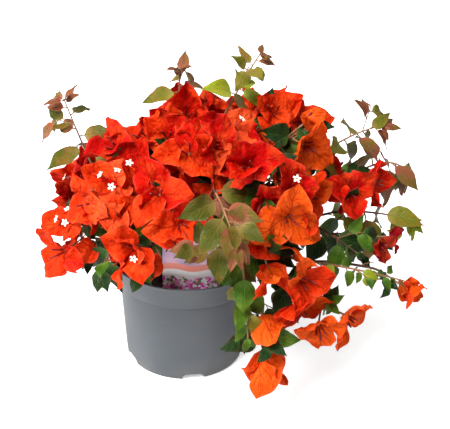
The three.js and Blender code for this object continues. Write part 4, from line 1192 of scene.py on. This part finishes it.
def label_material():
    """A printed plant card: soft bands over a bed of round blossom dots, with no words."""
    made, n, shader, place = material("printed card")
    axes = n.add("ShaderNodeSeparateXYZ", {0: place}).outputs
    dots = n.add("ShaderNodeTexVoronoi", {"Vector": place, "Scale": 330.0}).outputs
    tone = n.add("ShaderNodeSeparateColor", {0: dots["Color"]}).outputs
    card = linear(228, 74, 178)
    for share, tint in (
        (n.span(tone[0], 0.45, 0.55), linear(248, 168, 216)),
        (n.span(tone[1], 0.70, 0.74), linear(96, 140, 82)),
        (n.span(tone[2], 0.74, 0.76), linear(250, 246, 248)),
        (n.span(dots["Distance"], 0.22, 0.12, 0.0, 0.8), linear(190, 30, 150)),
    ):
        card = n.blend(share, card, tint)
    wave = n.math("MULTIPLY", n.math("SINE", n.math("MULTIPLY", axes[0], 160.0)), 0.0014)
    level = n.math("ADD", axes[2], wave)
    cloud = n.span(n.noise(place, 90.0, 4.0), 0.35, 0.65)
    cloud = n.blend(cloud, linear(172, 146, 182), linear(222, 178, 204))
    for (foot, fade), tint in zip(LABEL_BANDS, (linear(244, 240, 240), linear(232, 138, 118), cloud)):
        card = n.blend(n.span(level, foot, foot + fade), card, tint)
    n.give(shader.inputs["Base Color"], card)
    shader.inputs["Roughness"].default_value = 0.38
    bump(n, shader, n.noise(place, 60.0, 2.0), 0.1, 0.0006)
    return made


def floor_material():
    """A plain pale studio floor with a faint grain."""
    made, n, shader, place = material("pale floor")
    tone = n.blend(n.noise(place, 6.0, 3.0), linear(250, 250, 250), linear(246, 246, 246))
    n.give(shader.inputs["Base Color"], tone)
    out = n.add("ShaderNodeVectorMath", {0: place}, operation="LENGTH").outputs["Value"]
    seen = n.add("ShaderNodeLightPath").outputs["Is Camera Ray"]
    glow = n.math("MULTIPLY", n.span(out, FLOOR["near"], FLOOR["far"], FLOOR["glow"], 1.0), seen)
    white = n.add("ShaderNodeCombineColor", {0: glow, 1: glow, 2: glow}).outputs[0]
    n.give(shader.inputs["Emission Color"], white)
    shader.inputs["Emission Strength"].default_value = 1.0
    shader.inputs["Roughness"].default_value = 0.9
    shader.inputs["Specular IOR Level"].default_value = 0.1
    return made


# ------------------------------------------------------------------ pot, soil and label


def turned_skin(radius, height, azimuth):
    """A closed surface of revolution: point (r, z) of a profile at each azimuth, from pole to pole.

    radius and height are arrays of (azimuth, profile step). The rings run round the upright axis.
    """
    angle = np.radians(azimuth)[:, None]
    x, y = radius * np.cos(angle), radius * np.sin(angle)
    rings = np.stack([x, y, height], axis=-1).transpose(1, 0, 2)[None]
    root = np.array([[0.0, 0.0, height[0, 0]]])
    tip = np.array([[0.0, 0.0, height[0, -1]]])
    return skins(rings, root, tip)


def pocket_arch(azimuth):
    """How high the drainage pockets' roofs stand at each azimuth: a rounded arch over each pocket's width."""
    nearest = np.full(len(azimuth), 360.0)
    for k in range(POCKET["count"]):
        turn = (azimuth - POCKET["first_azimuth"] - 360 * k / POCKET["count"] + 180) % 360 - 180
        nearest = np.minimum(nearest, np.abs(turn))
    share = np.radians(nearest) * POT["base_radius"] / POCKET["half_width"]
    return POCKET["height"] * np.sqrt(np.clip(1 - share ** 4, 0, 1))


def wall_radius(z):
    return mix(POT["base_radius"], POT["wall_top_radius"], z / WALL_TOP)


def make_pot():
    """The pot: a foot ring cut by pockets, a tapered wall, a flared band with a step under it, and a lip."""
    azimuth = np.arange(POT["segments"]) * 360 / POT["segments"]
    arch = pocket_arch(azimuth)[:, None]
    cut = np.clip(arch / 1.5, 0, 1)
    base, band, rim, wall = (POT[name] for name in ("base_radius", "band_foot_radius", "rim_radius", "wall"))
    sunk, top, floor = base - POCKET["depth"], POT["height"], POT["inner_floor"]
    underside = [(r, 0.0) for r in (8, 25, 40, sunk - 0.6)]
    pockets = [(sunk, arch * 0.3), (sunk + 0.8, arch * 0.85), (sunk + 2.5, arch), (sunk + 6, arch)]
    foot = [
        (mix(base - 2.5, base - 1.2, cut), arch), (mix(base - 0.7, base - 0.2, cut), arch + 0.7),
        (wall_radius(2.6), np.maximum(arch + 1.6, 2.6)),
    ]
    outside = [(wall_radius(z), z) for z in np.linspace(11, WALL_TOP - 2.2, 14)]
    step = [
        (POT["wall_top_radius"] - 0.1, WALL_TOP - 0.9), (band - 0.7, WALL_TOP - 0.6), (band, WALL_TOP + 0.2),
    ]
    flare = [(mix(band, rim, share), mix(WALL_TOP, top, share)) for share in np.linspace(0.08, 0.93, 9)]
    lip = [(rim - out, top - down) for out, down in (
        (0.0, 1.1), (0.1, 0.4), (0.5, 0.0), (1.2, 0.0), (1.6, 0.4), (1.8, 1.3),
        (wall + 0.9, 1.7), (wall + 1.2, 2.4),
    )]
    inside_band = [
        (mix(band, rim, (z - WALL_TOP) / POT["band_height"]) - wall - 1.1, z)
        for z in np.linspace(top - 4, WALL_TOP, 6)
    ]
    inside = [(wall_radius(z) - wall, z) for z in np.linspace(WALL_TOP - 4, floor, 5)]
    bottom = [(r, floor) for r in (50, 25, 8)]
    profile = underside + pockets + foot + outside + step + flare + lip + inside_band + inside + bottom
    radius, height = (
        np.concatenate([pair[k] * np.ones((len(azimuth), 1)) for pair in profile], axis=1) for k in (0, 1)
    )
    points, faces = turned_skin(radius, height, azimuth)
    made = piece("pot_body", points, faces, [pot_material()], sharp=38)
    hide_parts("pot")


def ripple(x, y, waves, seed):
    """Even unevenness: a sum of sine waves over the plane, each with its own length, way and phase."""
    total = np.zeros(np.broadcast(x, y).shape)
    for k in range(waves):
        length = 34.0 / (1 + 0.9 * k)
        turn = 2 * np.pi * chance(seed, k, 1)
        phase = 2 * np.pi * chance(seed, k, 2)
        total += np.sin((x * np.cos(turn) + y * np.sin(turn)) * 2 * np.pi / length + phase) / (1 + 0.55 * k)
    return total


def soil_height(x, y):
    """The soil's top: gently mounded round the trunk and uneven all over."""
    mound = 3.0 * np.exp(-(x ** 2 + y ** 2) / 500.0)
    return SOIL_TOP - 1.6 + mound + 0.65 * ripple(x, y, 14, 900)


def make_soil():
    """The soil as one closed skin, with loose crumbs lying in it."""
    azimuth = np.arange(160) * 360 / 160
    reach = POT["rim_radius"] - POT["wall"] - 1.6
    edge = mix(POT["band_foot_radius"], reach, (SOIL_TOP - WALL_TOP) / POT["band_height"]) - 0.4
    shares = np.linspace(0.03, 1, 44)
    angle = np.radians(azimuth)[:, None]
    radius = np.tile(edge * shares, (len(azimuth), 1))
    top = soil_height(radius * np.cos(angle), radius * np.sin(angle))
    radius = np.concatenate([radius, radius[:, ::-1] - 0.8], axis=1)
    height = np.concatenate([top, np.full_like(top, SOIL_TOP - 9)], axis=1)
    points, faces = turned_skin(radius[:, ::-1], height[:, ::-1], azimuth)
    finish = soil_material()
    made = piece("soil_bed", points, faces, [finish], sharp=80)
    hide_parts("soil")

    count = CRUMBS["count"]
    draw = np.array([[chance(910, k, d) for d in range(6)] for k in range(count)])
    reach = (edge - 3) * np.sqrt(draw[:, 0])
    x, y = reach * np.cos(2 * np.pi * draw[:, 1]), reach * np.sin(2 * np.pi * draw[:, 1])
    size = mix(CRUMBS["least"], CRUMBS["most"], draw[:, 2] ** 2)[:, None]
    centre = np.stack([x, y, soil_height(x, y) + size[:, 0] * 0.25], axis=-1)
    way = np.stack([np.cos(7 * draw[:, 3]), np.sin(7 * draw[:, 3]), 0.8 * draw[:, 4] - 0.4], axis=-1)
    share = np.linspace(-0.8, 0.8, 4)[None, :, None]
    paths = centre[:, None] + way[:, None] * size[..., None] * share * (0.7 + draw[:, 5])[:, None, None]
    radii = size * np.sqrt(1 - share[..., 0] ** 2) * 0.9
    lumps = 0.25 * size[..., None] * np.sin(np.arange(6) * 2.3 + 9 * draw[:, :1, None])
    points, faces = tubes(paths, radii, 6, np.broadcast_to(lumps, (count, 4, 6)))
    piece("soil_crumbs", points, faces, [finish], sharp=40)


def make_label():
    """The card: a thin sheet with round corners, bowed a little from side to side."""
    half_width, half_height = (LABEL["right"] - LABEL["left"]) / 2, (LABEL["top"] - LABEL["foot"]) / 2
    corner = LABEL["corner"]
    ends = corner * (1 - np.cos(np.linspace(0.12, np.pi / 2, 7)))
    whole = 2 * half_height
    rows = np.concatenate([ends, np.linspace(corner + 1, whole - corner - 1, 12), whole - ends[::-1]])
    inset = np.clip(corner - np.minimum(rows, whole - rows), 0, corner)
    half = half_width - corner + np.sqrt(corner ** 2 - inset ** 2)
    u = np.linspace(-1, 1, 21)

    def face(sign):
        x = half[:, None] * u
        bow = LABEL["bow"] * (1 - (x / half_width) ** 2) + sign * LABEL["thickness"] / 2 * (1 - u ** 6)
        z = np.broadcast_to(rows[:, None], x.shape) + LABEL["foot"]
        return np.stack([x + (LABEL["left"] + LABEL["right"]) / 2, LABEL["y"] - bow, z], axis=-1)

    rings = np.concatenate([face(1), face(-1)[:, -2:0:-1]], axis=1)[None]
    root, tip = rings[:, 0].mean(1), rings[:, -1].mean(1)
    root[:, 2], tip[:, 2] = LABEL["foot"], LABEL["top"]
    points, faces = skins(rings, root, tip)
    made = piece("label_card", points, faces, [label_material()], sharp=50)
    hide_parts("label")


# ------------------------------------------------------------------ trunk, boughs and twigs


def bark_relief(steps, sides, seed, depth):
    """Ridges round and along a limb: sine waves over its step and side, whole in number round it."""
    step, side = np.meshgrid(np.arange(steps), np.arange(sides) * 2 * np.pi / sides, indexing="ij")
    total = np.zeros(step.shape)
    for k in range(9):
        turns = 1 + int(7 * chance(seed, k, 1))
        pace = 0.15 + 0.9 * chance(seed, k, 2)
        total += np.sin(turns * side + pace * step + 2 * np.pi * chance(seed, k, 3)) / (1 + 0.3 * k)
    return depth * total[None]


def make_trunk_and_boughs(material_of_bark):
    """The trunk flares into the soil, and each bough tapers, arching a little, to a swollen knob."""
    foot = SOIL_TOP + 0.3
    span = TRUNK["top"] - foot
    share = np.linspace(0, 1, 40)
    path = trunk_axis(foot + span * share)
    radius = mix(TRUNK["foot_radius"], TRUNK["top_radius"], share)
    radius = radius + (TRUNK["flare_radius"] - TRUNK["foot_radius"]) * np.exp(-share * TRUNK["flare_fade"])
    radius *= np.sqrt(np.clip((1.03 - share) / 0.06, 0, 1))
    relief = bark_relief(40, 28, 950, TRUNK["ridges"]) * (radius / 8)[None, :, None]
    parts = [tubes(path[None], radius[None], 28, relief)]
    for number, (bough, points) in enumerate(bends.items()):
        share = np.linspace(0, 1, 30)
        path = bezier(points, share)
        radius = mix(BOUGH["foot_radius"], BOUGH["tip_radius"], share)
        radius = radius + BOUGH["collar"] * np.exp(-share * BOUGH["collar_fade"])
        radius = np.maximum(radius, BOUGH["knob"] * np.exp(-((1 - share) / BOUGH["knob_share"]) ** 2))
        radius[-1] *= 0.75
        relief = bark_relief(30, 14, 960 + number, BOUGH["ridges"])
        parts.append(tubes(path[None], radius[None], 14, relief))
    points, faces = merge(parts)
    made = piece("trunk_and_boughs", points, faces, [material_of_bark], sharp=80)
    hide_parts("trunk", *(f"bough_{bough}" for bough in BOUGHS))


def make_stems(bark, young):
    """Every stem, shoot axis and pedicel, joined, and every petiole and side twig, joined."""
    woody, green = [], []
    for mass in MASSES:
        sway_side = np.array([sway(mass["seed"], 90, d) for d in range(3)])
        share = np.linspace(0, 1, 17)[:, None]
        crook = STEM["crook"] * np.sin(share * STEM["crook_pace"] + sway_side * 3) * np.sin(np.pi * share)
        radius = mix(STEM["foot_radius"], STEM["tip_radius"], share[:, 0])
        joint = (share[:, 0] * STEM["joints"] % 1 - 0.5) / STEM["joint_share"]
        radius = radius * (1 + STEM["joint_swell"] * np.exp(-joint ** 2))
        woody.append(tubes((mass["stem"] + crook)[None], radius[None], 8))
        if mass["kind"] == "shoot":
            taper = mix(STEM["tip_radius"], SHOOT["tip_radius"], np.linspace(0, 1, 13))
            limb = tubes(mass["axis"][None], taper[None], 8)
            (woody if mass["length"] < SHOOT["woody_under"] else green).append(limb)
        else:
            for head in main_heads(mass):
                knee = mix(mass["root"], head["centre"], 0.55) - direction(mass["face"]) * 2
                path = smooth_path([mass["root"], knee, head["centre"], head["centre"] + head["axis"]], 7)
                taper = mix(PEDICEL["foot_radius"], PEDICEL["head_radius"], np.linspace(0, 1, 7))
                green.append(tubes(path[None], taper[None], 7))
    for kind, steps, sides in (("stem", 6, 7), ("young", 5, 6)):
        chosen = [twig for twig in twigs if twig[0] == kind]
        paths = np.array([smooth_path(path, steps) for _, path, _, _ in chosen])
        ends = np.array([[first, last] for _, _, first, last in chosen])
        radii = mix(ends[:, :1], ends[:, 1:], np.linspace(0, 1, steps)[None])
        green.append(tubes(paths, radii, sides))
    points, faces = merge(woody)
    made = piece("stems", points, faces, [bark])
    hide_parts(*(mass["name"] for mass in MASSES))
    points, faces = merge(green)
    piece("twigs_and_petioles", points, faces, [young])


def make_thorns(young):
    """Short curved thorns in the crooks of the stems: tapering tubes that bend down towards the tip."""
    paths = []
    for mass in MASSES:
        for k, t in enumerate(THORN["shares"]):
            root, along = on_path(mass["stem"], t)
            way = around(along, GOLDEN * k + 360 * chance(mass["seed"], k, 95))
            reach = THORN["length"] * (1 + THORN["sway"] * sway(mass["seed"], k, 96))
            tip = root + way * reach + along * THORN["along"] - UP * THORN["hook"]
            paths.append(smooth_path([root, root + way * reach * 0.6 + along * THORN["crook"], tip], 5))
    radii = np.tile(mix(THORN["radius"], THORN["tip_radius"], np.linspace(0, 1, 5)), (len(paths), 1))
    points, faces = tubes(np.array(paths), radii, 5)
    piece("thorns", points, faces, [young])


# ------------------------------------------------------------------ bracts, leaves and florets


def make_blades(shape, stem_name, tints, materials_of):
    """One joined piece for each tint of a kind of blade."""
    for tint in tints:
        group = [blade for blade in blades if blade["shape"] is shape and blade["tint"] == tint]
        if group:
            points, faces, chart = sheets(group, shape)
            finish = under_side(faces, shape)
            piece(f"{stem_name}_{tint}", points, faces, materials_of(tint), chart, finish)


def make_florets():
    """Slim floret tubes, closed dark buds, and open stars of five lobes with a small heart.

    A star's reach at an angle is 0.74 plus 0.26 times the cosine of five times the angle, with each lobe's
    tip pressed in a little. Its rings go out over the upper face and back under the lower one.
    """
    opened = [floret[1:] for floret in florets if floret[0]]
    closed = [floret[1:] for floret in florets if not floret[0]]
    red = plain_material("floret tube", linear(196, 60, 40), linear(150, 30, 30), 120.0, 0.45, 0.3)
    dark = plain_material("closed bud", linear(96, 10, 14), linear(140, 30, 22), 120.0, 0.45, 0.4)
    for name, chosen, widths, finish in (
        ("floret_tubes", opened, FLORET["tube"], red), ("floret_buds", closed, FLORET["bud"], dark),
    ):
        foot, axis, length = (np.array(column) for column in zip(*chosen))
        share = np.linspace(0, 1, len(widths))
        paths = foot[:, None] + axis[:, None] * (length[:, None] * share)[..., None]
        points, faces = tubes(paths, np.tile(widths, (len(chosen), 1)), 8)
        piece(name, points, faces, [finish])

    foot, axis, length = (np.array(column) for column in zip(*opened))
    foot = foot + axis * length[:, None]
    level = np.cross(UP, axis)
    level /= np.linalg.norm(level, axis=1, keepdims=True)
    other = np.cross(axis, level)
    angle = np.linspace(0, 2 * np.pi, 50, endpoint=False)
    five = np.cos(5 * angle)
    lobes = FLORET["star"] * (0.74 + 0.26 * five) * (1 - 0.10 * np.maximum(five, 0) ** 12)
    share, rise = np.array(FLORET["star_rings"]), np.array(FLORET["star_rise"])
    reach = share[:, None] * mix(FLORET["star"] * 0.5, lobes, np.clip(share[:, None] * 1.6 - 0.4, 0, 1))
    ring = level[:, None, None] * np.cos(angle)[:, None] + other[:, None, None] * np.sin(angle)[:, None]
    rings = foot[:, None, None] + ring * reach[None, :, :, None] + axis[:, None, None] * rise[:, None, None]
    points, faces = skins(rings[:, ::-1], foot - axis * 0.6, foot - axis * 0.15)
    white = plain_material("floret star", linear(252, 248, 232), linear(246, 238, 214), 260.0, 0.5, 0.3)
    piece("floret_stars", points, faces, [white], sharp=70)

    paths = foot[:, None] + axis[:, None] * np.linspace(-0.4, 1.0, 4)[:, None]
    points, faces = tubes(paths, np.tile(FLORET["heart"], (len(opened), 1)), 8)
    heart = plain_material("floret heart", linear(150, 120, 60), linear(96, 60, 40), 500.0, 0.6, 0.3)
    piece("floret_hearts", points, faces, [heart])


bark = stalk_material("brown bark", linear(74, 50, 38), linear(128, 98, 74), 0.7)
stem_bark = stalk_material("stem bark", linear(70, 36, 30), linear(112, 74, 54), 0.55)
young_bark = stalk_material("young twig", linear(112, 88, 46), linear(150, 96, 66), 0.5)

make_pot()
make_soil()
make_label()
make_trunk_and_boughs(bark)
make_stems(stem_bark, young_bark)
make_thorns(young_bark)
make_blades(BRACT, "bracts", BRACT_TINTS, bract_materials)
make_blades(LEAF, "leaves", LEAF_TINTS, leaf_materials)
make_florets()

# ------------------------------------------------------------------ floor, light and camera


def make_floor():
    mesh = bpy.data.meshes.new("floor")
    reach, level = FLOOR["reach"], FLOOR["level"]
    corners = [(-reach, -reach, level), (reach, -reach, level), (reach, reach, level), (-reach, reach, level)]
    mesh.from_pydata(corners, [], [(0, 1, 2, 3)])
    mesh.materials.append(floor_material())
    floor = bpy.data.objects.new("floor", mesh)
    bpy.context.scene.collection.objects.link(floor)


def soft_light(name, azimuth, elevation, distance, size, power):
    """A square area light that faces the middle of the bush."""
    aim = np.array(CAMERA["target"])
    place = aim + direction((azimuth, elevation)) * distance
    lamp = bpy.data.lights.new(name, "AREA")
    lamp.size = size
    lamp.energy = power
    made = bpy.data.objects.new(name, lamp)
    made.location = place
    toward = aim - place
    pitch = math.acos(-toward[2] / np.linalg.norm(toward))
    made.rotation_euler = (pitch, 0.0, math.atan2(-toward[0], toward[1]))
    bpy.context.scene.collection.objects.link(made)


def make_camera():
    """The camera looks down on the bush from the front, rolled a little."""
    elevation, roll = math.radians(CAMERA["elevation"]), math.radians(CAMERA["roll"])
    back = np.array([0.0, -math.cos(elevation), math.sin(elevation)])
    lens = bpy.data.cameras.new("camera")
    lens.lens = CAMERA["lens"]
    made = bpy.data.objects.new("camera", lens)
    made.location = np.array(CAMERA["target"]) + back * CAMERA["distance"]
    made.rotation_mode = "XYZ"
    made.rotation_euler = (math.pi / 2 - elevation, 0.0, 0.0)
    made.rotation_euler.rotate_axis("Z", roll)
    lens.clip_start, lens.clip_end = 0.01, 50.0
    bpy.context.scene.collection.objects.link(made)
    bpy.context.scene.camera = made


def make_world():
    """A white room that lights the bush less than it shows behind it."""
    world = bpy.data.worlds.new("studio")
    world.use_nodes = True
    n = Nodes(world.node_tree)
    background = world.node_tree.nodes["Background"]
    background.inputs["Color"].default_value = (1.0, 1.0, 1.0, 1.0)
    seen = n.add("ShaderNodeLightPath").outputs["Is Camera Ray"]
    n.give(background.inputs["Strength"], n.span(seen, 0.0, 1.0, ROOM["lit"], ROOM["seen"]))
    bpy.context.scene.world = world


make_floor()
for name, look in LIGHTS.items():
    soft_light(name, **look)
make_world()
make_camera()
bpy.context.scene.view_settings.view_transform = "Standard"
